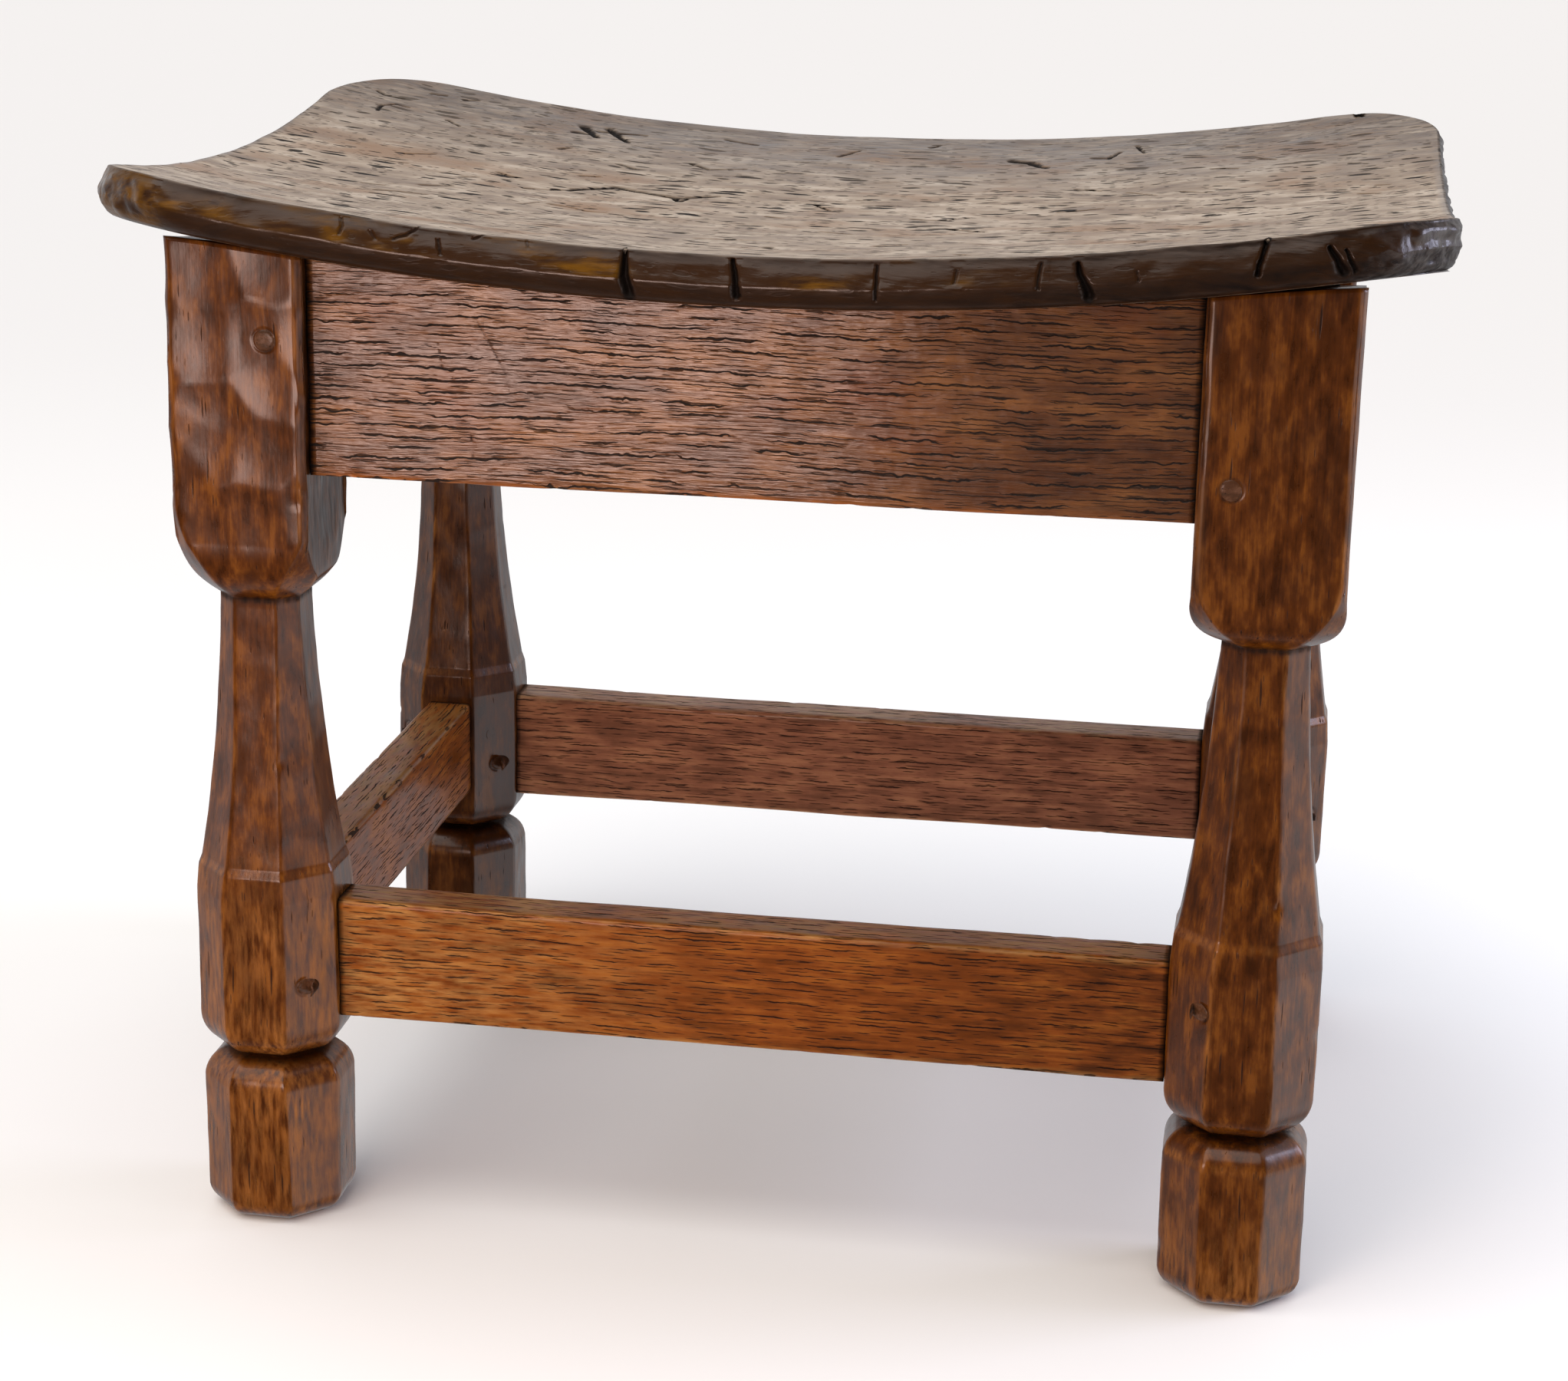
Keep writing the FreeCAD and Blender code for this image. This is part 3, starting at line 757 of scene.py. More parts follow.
@dataclass
class SeatPlank:
    """The seat: one plank, dished by hand, with drying cracks in the top and a split, burnished edge."""

    dish: Dish
    corner_radius: float = 50.0
    slope_in: float = 3.5
    slope_drop: float = 10.0
    round_in: float = 5.5
    edge_depth: float = 17.0
    top_round: float = 1.6
    top_step: float = 2.4
    under_step: float = 8.0
    crack_reach: float = 3.3
    crack_cuts: int = 4
    # Where the broken tips at both front corners begin: x, y and how far inside the outline they reach
    tips: tuple[float, float, float] = (196.0, -95.0, 5.0)
    # How much wider at both ends, and deeper, the top's cracks are drawn than listed, so that they show
    crack_growth: tuple[float, float, float] = (2.1, 1.3, 1.4)
    # Splits of the edge: place along it and how far down it, then half widths and depth
    front_splits: tuple[Crack, ...] = (
        Crack(((-134.3, 1.5), (-133.7, 4.2), (-134.7, 7.1)), (0.4, 0.3), 0.9),
        Crack(((-123.6, 4.0), (-122.3, 6.3)), (0.3, 0.3), 0.7),
        Crack(((-107.9, -0.5), (-111.5, 3.2), (-115.8, 5.5)), (0.35, 0.35), 0.9),
        Crack(((-100.7, 3.7), (-100.0, 8.3)), (0.4, 0.35), 0.9),
        Crack(((-84.6, -0.5), (-89.3, 1.9)), (0.45, 0.3), 0.8),
        Crack(((-71.2, 0.7), (-70.7, 3.2)), (0.35, 0.3), 0.7),
        Crack(((-38.9, -1.0), (-38.6, 5.8), (-38.4, 9.0), (-37.0, 14.5)), (0.5, 1.7), 3.4),
        Crack(((-2.8, 1.5), (-1.8, 6.0), (-1.2, 12.9)), (0.6, 1.1), 2.6),
        Crack(((44.6, 2.0), (45.0, 7.0), (44.2, 13.0)), (0.35, 0.5), 1.4),
        Crack(((70.2, 4.2), (69.8, 8.3)), (0.3, 0.3), 0.8),
        Crack(((97.1, 2.9), (96.6, 11.0)), (0.4, 0.4), 1.2),
        Crack(((109.0, 3.4), (109.8, 7.5), (112.9, 14.5)), (0.5, 1.5), 3.0),
        Crack(((127.5, 7.5), (128.2, 10.5)), (0.3, 0.3), 0.8),
        Crack(((168.4, -1.5), (167.0, 3.7), (165.8, 11.6)), (0.8, 0.7), 2.8),
        Crack(((187.7, 5.1), (192.8, 14.3)), (0.6, 1.3), 2.6),
        Crack(((192.9, 6.8), (196.1, 14.1)), (0.4, 0.8), 1.8))
    back_splits: tuple[Crack, ...] = (
        Crack(((198.0, -7.0), (197.0, 5.0)), (2.0, 1.0), 3.2),
        Crack(((60.0, 1.0), (61.0, 9.0)), (0.4, 0.6), 1.6),
        Crack(((-85.0, 2.0), (-86.0, 13.0)), (0.4, 0.9), 2.2),
        Crack(((-20.0, 4.0), (-20.5, 9.0)), (0.3, 0.3), 0.9),
        Crack(((-150.0, 1.0), (-149.0, 8.0)), (0.4, 0.5), 1.2))
    end_splits: tuple[Crack, ...] = (
        Crack(((-118.0, 1.0), (-116.0, 12.0)), (0.5, 0.9), 1.8),
        Crack(((-60.0, -0.5), (-61.5, 9.0)), (0.5, 0.7), 1.6),
        Crack(((15.0, 2.0), (14.0, 14.0)), (0.6, 1.1), 2.2),
        Crack(((72.0, 1.0), (73.0, 7.0)), (0.4, 0.4), 1.0),
        Crack(((122.0, 1.0), (120.0, 12.0)), (0.6, 0.8), 1.6))
    # Cracks of the top: half width and depth, then lines of x and y
    top_cracks: tuple[tuple[float, float, tuple[tuple[tuple[float, float], ...], ...]], ...] = (
        (0.75, 1.5, (((-102, 26), (-88, 43), (-70, 36), (-62, 33), (-47, 42)), ((59, 129), (67, 125), (74, 115)),
                     ((-112, 142), (-106, 133), (-100, 124)), ((-122, 139), (-114, 126)), ((-4, -95), (0, -100)))),
        (0.5, 1.1, (((-117, 18), (-102, 26)), ((-62, 33), (-59, 26), (-57, 36)), ((-170, -22), (-163, -21)),
                    ((-161, -37), (-152, -32), (-144, -27)), ((-152, -7), (-142, 0)), ((-145, 22), (-139, 27)),
                    ((-124, 129), (-114, 129)), ((-115, 136), (-96, 139)), ((-123, 101), (-121, 103)),
                    ((92, 130), (98, 128), (102, 139)), ((51, -17), (59, -22), (65, -26)), ((31, -77), (41, -69)),
                    ((34, 8), (46, 6), (54, 15)), ((65, -123), (74, -138)), ((116, -87), (125, -76)))),
        (0.35, 0.8, (((-176, 118), (-169, 111)), ((-204, 113), (-204, 121), (-200, 126), (-194, 125)),
                     ((-211, 138), (-207, 135), (-199, 134)), ((-175, 53), (-165, 60)), ((-135, 44), (-126, 37)),
                     ((-105, 56), (-98, 59)), ((-69, 99), (-60, 91), (-46, 97)), ((-34, -72), (-21, -72), (-5, -75)),
                     ((-16, -49), (-9, -44)), ((-101, -12), (-90, -16)), ((-86, -19), (-78, -18)),
                     ((-110, -19), (-104, -8)), ((-180, 35), (-169, 35)), ((-63, 147), (-49, 142)),
                     ((-191, 149), (-184, 150)), ((-176, 149), (-171, 152)), ((-96, 86), (-88, 81)),
                     ((108, 147), (112, 135)), ((23, 150), (26, 153)), ((-20, 0), (-14, -1)), ((141, 99), (151, 97)),
                     ((159, 113), (165, 109)), ((198, 32), (205, 30)), ((205, 47), (209, 46)), ((131, 61), (143, 56)),
                     ((110, 66), (121, 57)), ((87, 27), (103, 31)), ((-8, 37), (1, 24)), ((89, 74), (100, 70)),
                     ((-13, 131), (-6, 140)), ((7, 50), (12, 49)), ((5, -31), (17, -36)), ((86, -32), (100, -27)))))

    def section(self) -> list[tuple[float, float, float]]:
        """Section of the worked edge, from its round arris down.

        Returns:
            Points of inset, drop from the top, and share of the way to the underside.
        """
        points = [(self.slope_in + inset, drop, 0.0) for inset, drop in
                  ((self.top_round, 0.0), (1.0, 0.05), (0.55, 0.25), (0.2, 0.6), (0.05, 1.1))]
        for share in (0.27, 0.4, 0.55, 0.7, 0.82, 0.92, 1.0):
            bulge = 0.25 * math.sin(math.pi * share)
            points.append((self.slope_in * (1 - share) - bulge, self.slope_drop * share, 0.0))
        for step in (0.35, 1, 2, 3, 4, 5, 6):
            angle = math.pi / 12 * step
            points.append((0.15 + self.round_in * (1 - math.cos(angle)), self.slope_drop, math.sin(angle)))
        return points + [(self.round_in * 1.7, self.slope_drop, 1.0)]

    def plan(self, half: tuple[float, float], counts: tuple[int, int], radius: float) -> np.ndarray:
        """Fit a grid of places inside a rounded rectangle.

        Args:
            half: Half length and half depth of the rectangle.
            counts: Lines of the grid along each.
            radius: Radius of its corners.

        Returns:
            Rows of x and y for each grid line along the length.
        """
        grid = np.meshgrid(*(np.linspace(-size, size, count) for size, count in zip(half, counts)), indexing="ij")
        over = [np.clip((np.abs(line) - (size - radius)) / radius, 0, 1) for line, size in zip(grid, half)]
        corner = (over[0] > 0) & (over[1] > 0)
        fitted = [np.where(corner, np.sign(line) * (size - radius + radius * own * np.sqrt(1 - other ** 2 / 2)),
                           line) for line, size, own, other in zip(grid, half, over, over[::-1])]
        return np.stack(fitted, axis=-1)

    @staticmethod
    def rim(numbers: np.ndarray) -> np.ndarray:
        """Numbers round the border of a grid, anticlockwise from its front left corner."""
        return np.concatenate([numbers[:-1, 0], numbers[-1, :-1], numbers[:0:-1, -1], numbers[0, :0:-1]])

    def from_outline(self, places: np.ndarray) -> tuple[np.ndarray, np.ndarray]:
        """Set places against the outline.

        Args:
            places: Rows of x and y.

        Returns:
            Their outward directions in the plan, and how far inside the outline they lie.
        """
        core = np.array((self.dish.half_length, self.dish.half_depth)) - self.corner_radius
        away = places - np.clip(places, -core, core)
        reach = np.linalg.norm(away, axis=1)
        return away / np.maximum(reach, 1e-6)[:, None], self.corner_radius - reach

    def blank(self) -> Skin:
        """Shape the plank before its cracks and wear.

        Returns:
            Top, worked edge and underside, closed.
        """
        dish, skin = self.dish, Skin()
        section = self.section()
        rows = []
        for inset, step in ((section[0][0], self.top_step), (section[-1][0] + 4.0, self.under_step)):
            half = (dish.half_length - inset, dish.half_depth - inset)
            counts = tuple(round(2 * size / step) + 1 for size in half)
            grid = self.plan(half, counts, self.corner_radius - inset)
            flat = grid.reshape(-1, 2)
            z = (dish.under if rows else dish.top)(flat[:, 0], flat[:, 1])
            rows.append(skin.put(np.column_stack([flat, z])) + np.arange(len(flat)).reshape(grid.shape[:2]))
        top, under = rows
        skin.weave(top.T)
        skin.weave(under)
        ring = self.rim(top)
        edge = skin.points[ring, :2]
        outward, _ = self.from_outline(edge)
        outline = edge + outward * section[0][0]
        for inset, drop, share in section[1:]:
            spot = outline - outward * inset
            z = (dish.top(*spot.T) - drop) * (1 - share) + dish.under(*spot.T) * share
            lower = skin.put(np.column_stack([spot, z])) + np.arange(len(spot))
            skin.weave(np.stack([ring, lower])[:, ::-1], closed=True)
            ring = lower
        skin.stitch(ring[::-1], np.roll(self.rim(under)[::-1], 1))
        return skin

    def cuts(self, points: np.ndarray) -> tuple[np.ndarray, np.ndarray, np.ndarray]:
        """How cracks and splits cut the blank.

        Args:
            points: Places on the blank.

        Returns:
            Depth of the top's cracks, depth of the edge's splits, and distance from the nearest of them.
        """
        outward, inset = self.from_outline(points[:, :2])
        down = self.dish.top(points[:, 0], points[:, 1]) - points[:, 2]
        on_top = down < ON_FACE
        down = np.where(on_top, self.slope_in - inset, down)
        wander = sum(far * np.stack([Ripple(seed, (size,) * 3).at(points) for seed in seeds], axis=1)
                     for far, size, seeds in ((0.35, 2.6, (5, 6)), (0.7, 9.0, (7, 8))))
        wide, narrow, deeper = self.crack_growth
        cracks = tuple(Crack(line, (wide * width, narrow * width), deeper * deep)
                       for width, deep, lines in self.top_cracks for line in lines)
        top, away = cracked(cracks, points[:, :2] + wander)
        away = np.where(on_top, away, FAR)
        splits = np.zeros(len(points))
        for found, places, mask in (
                (self.front_splits, points[:, 0], points[:, 1] < -0.6 * self.dish.half_depth),
                (self.back_splits, points[:, 0], points[:, 1] > 0.6 * self.dish.half_depth),
                (self.end_splits, points[:, 1], np.abs(outward[:, 0]) > 0.9)):
            deep, off = cracked(found, np.stack([places, down], axis=1) + 0.8 * wander)
            mask &= (inset < 9.0) & (down < self.edge_depth + 2)
            splits = np.maximum(splits, np.where(mask, deep, 0))
            away = np.minimum(away, np.where(mask, off, FAR))
        return np.where(on_top, top, 0), splits, away

    def build(self) -> None:
        """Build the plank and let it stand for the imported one."""
        skin = self.blank()
        x, y = skin.points[:, 0], skin.points[:, 1]
        inset = self.from_outline(skin.points[:, :2])[1]
        broken = (np.abs(x) > self.tips[0]) & (y < self.tips[1]) & (inset < self.tips[2])
        skin.refine((self.cuts(skin.points)[2] < self.crack_reach) | broken, self.crack_cuts)
        points = skin.points
        cracks, splits, _ = self.cuts(points)
        x, y = points[:, 0], points[:, 1]
        outward, inset = self.from_outline(points[:, :2])
        down = self.dish.top(x, y) - points[:, 2]
        on_top = down < ON_FACE
        under = (inset > self.round_in) & ~on_top
        edge = ~on_top & ~under
        deep = np.where(on_top, self.top_round + self.slope_in - inset, down)
        level, plan = np.column_stack([x, y, deep]), np.column_stack([x, y, 0 * x])
        fade = 1 - smooth(13.5, 16.5, deep)

        # Hollows of the top, lumps along the edge, shavings taken off it, and rough end grain at both ends
        hollows = 0.45 * Ripple(11, (38.0, 30.0, 30.0)).at(points) + 0.2 * Ripple(12, (13.0, 10.0, 10.0)).at(points)
        lumps = 0.6 * Ripple(21, (34.0, 34.0, 9.0)).at(plan) + 0.35 * Ripple(28, (12.0, 12.0, 9.0)).at(plan)
        shaved = 0.3 * Ripple(22, (15.0, 15.0, 6.0)).at(level)
        shaved += Scoops(25, (11.0, 8.0), 0.3).at(np.column_stack([x + y, deep]))
        tip = edge * smooth(0.12, 0.5, np.abs(outward[:, 0]))
        torn = tip * (0.25 * Ripple(23, (2.5, 2.5, 3.5)).at(level) + 0.9 * Ripple(26, (6.0, 6.0, 4.5)).at(level))
        inward = np.where(edge, splits + (0.6 + 0.5 * lumps - shaved - torn) * smooth(-0.5, 3, deep), 0) * fade
        inward += edge * 2.2 * smooth(205, 228, x) * smooth(3.0, 8.0, deep)
        inward = np.maximum(inward, 0.02 - np.maximum(inset, 0.02)) * edge
        points[:, :2] -= outward * inward[:, None]
        points[:, 2] -= on_top * (cracks + splits * smooth(10, 4, inset)) + (on_top | edge) * fade * 0.4 * lumps
        points[:, 2] += on_top * hollows * smooth(5.7, 16, inset)

        # Gold shows through along the edge, most at the front left tip, and in one rubbed spot of the top
        gold = Ripple(24, (26.0, 26.0, 9.0)).at(level) + 0.5 * Ripple(27, (8.0, 8.0, 4.0)).at(level)
        left = smooth(-20, -150, x) * (y < 0)
        wear = smooth(0.1, 1.3, gold + 0.55 * left - 0.35 * smooth(20, 120, x)) * smooth(11, 9, deep) * edge
        held = tip * smooth(-185, -205, x) * smooth(-75, -120, y) * smooth(-1.2, 0.0, gold)
        wear = 0.65 * np.maximum(wear, 1.5 * held) + 0.5 * on_top * bell(x - 13, 8) * bell(y - 86, 4)
        stain = np.where(under, 0.6, smooth(-0.6, 0.8, deep))
        # The top is also darker towards the back
        stain = np.maximum(stain, 0.6 * on_top * smooth(40, 165, y))
        # Painted shadow on the lower band of the edge, which faces down, and painted darkening towards the right end;
        # darker and duller just under the top arris
        painted_edge_shade = 0.25 * smooth(9.5, 12, deep) + 0.25 * smooth(30, 150, x) + 0.3 * smooth(4.5, 1.0, deep)
        grime = np.maximum.reduce([np.minimum(1.4 * cracks, 1), np.minimum(0.9 * splits, 1), edge * painted_edge_shade])
        finish = FUMED_SEAT.made(Grain.ALONG_X, 1, np.array((0.0, 0.0, 360.0)), (30.0, -160.0))
        skin.piece("seat_plank", "seat", finish, FUMED_SEAT.slot, wear=wear, stain=stain, grime=grime)


@dataclass(frozen=True)
class PegPlace:
    """One peg: the middle of its outer end, the way it is driven, and its size, in millimetres."""

    head: np.ndarray
    inward: np.ndarray
    half_width: float
    length: float

    def off(self, points: np.ndarray) -> np.ndarray:
        """Distance of points from the peg's axis."""
        offset = points - self.head
        return np.linalg.norm(offset - (offset @ self.inward)[:, None] * self.inward, axis=1)

    def rim(self, points: np.ndarray) -> np.ndarray:
        """Set points against the rims of the hole at the peg's two ends.

        Args:
            points: Places, in millimetres.

        Returns:
            Their distances from the nearer rim.
        """
        along = (points - self.head) @ self.inward
        ends = np.minimum(np.abs(along), np.abs(along - self.length))
        return np.hypot(self.off(points) - self.half_width, np.maximum(ends - 3.0, 0))


def peg_places(node: bpy.types.Object, side: str) -> list[PegPlace]:
    """Find the two pegs in a packed group.

    Args:
        node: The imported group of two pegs.
        side: The side of the stool that they are driven in from.

    Returns:
        Both pegs, the one at the lower end of the rail's axis first.
    """
    verts = np.array([vertex.co[:] for vertex in node.data.vertices]) / MM
    across, sign = {"front": (1, -1), "back": (1, 1), "left": (0, -1), "right": (0, 1)}[side]
    found = []
    for half in (verts[verts[:, 1 - across] < 0], verts[verts[:, 1 - across] > 0]):
        low, high = half.min(axis=0), half.max(axis=0)
        head = (low + high) / 2
        head[across] = high[across] if sign > 0 else low[across]
        inward = np.zeros(3)
        inward[across] = -sign
        found.append(PegPlace(head, inward, (high[2] - low[2]) / 2, high[across] - low[across]))
    return found


# The front left block is planed back by this much on its inner side, and the front apron reaches as much further
FRONT_LEFT_TRIM = 3.0
# The front left block is roughly adzed, and the others are planed nearly flat
ADZED, PLANED = 0.85, 0.2


@dataclass
class Leg:
    """One leg: square block, waisted neck, belly, groove and foot, cut to eight facets with a drawknife."""

    corner: str
    number: int
    dish: Dish
    pegs: list[PegPlace]
    trim: float = 0.0
    hewing: float = PLANED
    rubbed: float = 0.0
    block: float = 25.5
    block_arris: float = 2.0
    block_length: float = 84.5
    block_round: float = 21.5
    block_bow: float = 3.5
    corner_cut: float = 33.5
    corner_bow: float = 4.5
    neck_hollow: float = 3.5
    neck: float = 14.8
    neck_bow: float = 1.5
    crease: float = 25.3
    crease_flat: float = 3.0
    belly_bevel: float = 9.0
    belly: float = 26.0
    belly_wall: float = 47.0
    belly_round: float = 13.5
    belly_in: float = 7.0
    belly_bow: float = 2.2
    groove_length: float = 2.5
    groove: float = 12.5
    foot: float = 25.3
    foot_round: float = 10.0
    foot_in: float = 7.8
    foot_bow: float = 1.9
    foot_wall: float = 44.0
    sole_round: float = 8.0
    sole_in: float = 6.8
    sole_bow: float = 1.7
    # How far the outline runs on above the seat's middle before its top is fitted, and where the blocks' inner
    # faces stand
    spare_top: float = 20.0
    inner_face: float = 149.0
    ring_step: float = 1.8
    flat_columns: int = 11
    corner_columns: int = 6
    rim_reach: float = 2.6
    rim_cuts: int = 3
    # Slices of the drawknife below the block and hollows of the adze on it: length, width and depth
    slice_cell: tuple[float, float] = (60.0, 15.0)
    slice_deep: float = 0.16
    adze_cell: tuple[float, float] = (21.0, 25.0)
    # How far the facets wander and over what length, and the heights between which they come to wander less
    drift: float = 0.45
    drift_length: float = 55.0
    steadier: tuple[float, float] = (236.0, 262.0)
    nicks: int = 34
    nick_radii: tuple[float, float] = (1.0, 2.8)
    nick_depths: tuple[float, float] = (0.2, 0.6)
    # Half width and depth of the ring pressed in round each peg
    ring_width: float = 0.45
    ring_deep: float = 0.25
    arris_worn: float = 0.9
    tone_and_painted_light: float = 1.0
    surface: BVHTree | None = None

    def heights(self) -> dict[str, float]:
        """Heights at which the outline changes.

        Returns:
            The heights by name, from the sole up.
        """
        under = self.dish.top_centre - self.dish.thickness
        foot_wall = self.sole_round + self.foot_wall
        foot_top = foot_wall + self.foot_round
        belly_low = foot_top + self.groove_length
        belly_wall_low = belly_low + self.belly_round
        belly_wall_top = belly_wall_low + self.belly_wall
        block_low = under - self.block_length - self.block_round
        return {
            "sole_top": self.sole_round, "foot_wall": foot_wall, "foot_top": foot_top, "belly_low": belly_low,
            "belly_wall_low": belly_wall_low, "belly_wall_top": belly_wall_top,
            "crease": belly_wall_top + self.belly_bevel,
            "crease_top": belly_wall_top + self.belly_bevel + self.crease_flat,
            "neck_top": block_low - self.neck_hollow, "block_low": block_low,
            "block_full": block_low + self.block_round, "corner_full": block_low + self.corner_cut,
        }

    @staticmethod
    def bowed(start: tuple[float, float], end: tuple[float, float], bow: float) -> list[tuple[float, float]]:
        """Bend a line into a shallow arc.

        Args:
            start: Its first point, as half width and height.
            end: Its last point.
            bow: How far its middle stands off the chord.

        Returns:
            Its points, without the first.
        """
        chord = np.array(end) - np.array(start)
        normal = np.array((chord[1], -chord[0])) / np.linalg.norm(chord)
        return [tuple(np.array(start) + chord * s + normal * bow * 4 * s * (1 - s))
                for s in np.linspace(0, 1, 13)[1:]]

    def outline(self, shares: tuple[float, float, float, float, float], block: float, block_round: float,
                block_bow: float) -> np.ndarray:
        """Outline of one pair of facets, as rows of half width and height from the sole up.

        Args:
            shares: Half widths of foot, groove, belly, crease and neck, as shares of the flat facets' own.
            block: Half width of the block over these facets.
            block_round: Length over which the bottom of the block is rounded.
            block_bow: How far that rounding stands off its chord.

        Returns:
            Points whose heights rise steadily.
        """
        h = self.heights()
        sizes = (self.foot, self.groove, self.belly, self.crease, self.neck)
        foot, groove, belly, crease, neck = (size * share for size, share in zip(sizes, shares))
        lip = 0.3
        points = [(foot - self.sole_in, 0.0)]
        points += self.bowed(points[-1], (foot, self.sole_round), self.sole_bow)
        points.append((foot, h["foot_wall"]))
        points += self.bowed(points[-1], (foot - self.foot_in, h["foot_top"]), self.foot_bow)
        points += [(groove, h["foot_top"] + lip), (groove, h["belly_low"] - lip)]
        points.append((belly - self.belly_in, h["belly_low"]))
        points += self.bowed(points[-1], (belly, h["belly_wall_low"]), self.belly_bow)
        points += [(belly, h["belly_wall_top"]), (crease, h["crease"] - lip), (crease - 1.15, h["crease_top"])]
        points += self.bowed(points[-1], (neck, h["neck_top"]), -self.neck_bow)
        points.append((neck, h["block_low"]))
        points += self.bowed(points[-1], (block, h["block_low"] + block_round), block_bow)
        points.append((block, self.dish.top_centre + self.spare_top))
        return np.array(points)

    def stations(self) -> tuple[np.ndarray, np.ndarray, np.ndarray]:
        """Divide the outline into rings, its arrises a little softened.

        Returns:
            Heights of the rings, and the half widths over the flat and over the corner facets there.
        """
        flat = self.outline((1, 1, 1, 1, 1), self.block, self.block_round, self.block_bow)
        corner = self.outline((1.008, 1.0, 1.015, 1.006, 1.055), (2 * self.block - self.block_arris) / SQRT2,
                              self.corner_cut, self.corner_bow)
        dense = np.arange(0, flat[-1, 1], 0.05)
        steps = np.hypot(np.gradient(np.interp(dense, flat[:, 1], flat[:, 0])), 0.05)
        run = np.concatenate([[0], np.cumsum(steps[1:])])
        z = np.interp(np.linspace(0, run[-1], round(run[-1] / self.ring_step) + 1), run, dense)
        creases = np.array(list(self.heights().values()))
        z = z[np.abs(z[:, None] - creases).min(axis=1) > 1.3]
        z = np.sort(np.concatenate([z, creases, creases - 0.45, creases + 0.45, creases - 1.1, creases + 1.1]))
        z = z[np.concatenate([[True], np.diff(z) > 0.15])]
        kernel = bell(np.linspace(-2, 2, 15), 1)
        kernel /= kernel.sum()
        soft = [np.convolve(np.pad(np.interp(dense, line[:, 1], line[:, 0]), 7, mode="edge"), kernel, mode="valid")
                for line in (flat, corner)]
        return z, np.interp(z, dense, soft[0]), np.interp(z, dense, soft[1])

    def reaches(self, z: np.ndarray, flat: np.ndarray, corner: np.ndarray, seed: int) -> np.ndarray:
        """How far each facet stands from the axis, ring by ring, with the unevenness of hand work.

        Args:
            z: Heights of the rings.
            flat: Half width over the flat facets.
            corner: Half width over the corner facets.
            seed: Seed of the leg.

        Returns:
            One row for each of the eight facets.
        """
        line = np.stack([np.zeros(len(z)), np.zeros(len(z)), z], axis=-1)
        h = self.heights()
        drift = self.drift * (1 - 0.6 * smooth(*self.steadier, z))
        rows = []
        for facet in range(8):
            wandering = drift * Ripple(seed + facet, (1.0, 1.0, self.drift_length)).at(line)
            own = (corner if facet % 2 else flat) + wandering
            trim = {0: self.trim, 1: self.trim / SQRT2, 7: self.trim / SQRT2}.get(facet, 0.0)
            full = self.block if facet % 2 == 0 else (2 * self.block - self.block_arris) / SQRT2
            own = np.where(z > h["block_low"], np.minimum(own, full + 0.3 - trim), own)
            rows.append(own)
        return np.array(rows)

    def build(self) -> None:
        """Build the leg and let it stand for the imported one."""
        low, high = node_box(f"leg_{self.corner}")
        axis = np.array([math.copysign(np.abs([low[i], high[i]]).max() - self.block, low[i]) for i in (0, 1)])
        z, flat, corner = self.stations()
        seed = 100 * self.number
        reach = self.reaches(z, flat, corner, seed)
        columns, arris, facets, offsets = [], [], [], []
        for facet in range(8):
            angle = facet * math.pi / 4
            normal = np.array((math.cos(angle), math.sin(angle)))
            tangent = np.array((-math.sin(angle), math.cos(angle)))
            own = reach[facet]
            steps = np.linspace(0, 1, self.corner_columns if facet % 2 else self.flat_columns)
            for sign, other in ((-1, reach[(facet - 1) % 8]), (1, reach[(facet + 1) % 8])):
                half = np.maximum(other * SQRT2 - own, 0.3)
                worn = np.minimum(self.arris_worn, half * 0.6)
                # The last three columns lie on the worn round of the arris
                across = np.column_stack([(half - 2 * worn)[:, None] * steps, half - worn, half - 0.45 * worn, half])
                retreat = 0.22 * worn[:, None] * np.array([0.0] * len(steps) + [0.02, 0.3, 1.0])
                order = range(across.shape[1] - 2, -1, -1) if sign < 0 else range(1, across.shape[1])
                for i in order:
                    columns.append(normal * (own - retreat[:, i])[:, None]
                                   + tangent * (sign * (across[:, i] - retreat[:, i]))[:, None])
                    arris.append(half - across[:, i])
                    facets.append(np.full(len(z), facet))
                    offsets.append(sign * across[:, i])
        around = len(columns)
        spread = np.stack(columns, axis=1) + axis
        skin = Skin()
        skin.put(np.concatenate([spread, np.repeat(z[:, None, None], around, axis=1)], axis=2).reshape(-1, 3))
        numbers = np.arange(len(z) * around).reshape(len(z), around)
        skin.weave(numbers, closed=True)
        skin.cap(numbers[0][::-1], np.array((*axis, 0.0)))
        skin.cap(numbers[-1], np.array((*axis, z[-1])))
        marks = [np.concatenate([np.stack(rows, axis=1).reshape(-1), [fill] * 2])
                 for rows, fill in ((arris, FAR), (facets, -1), (offsets, 0.0))]
        self.carve(skin, axis, marks, seed)

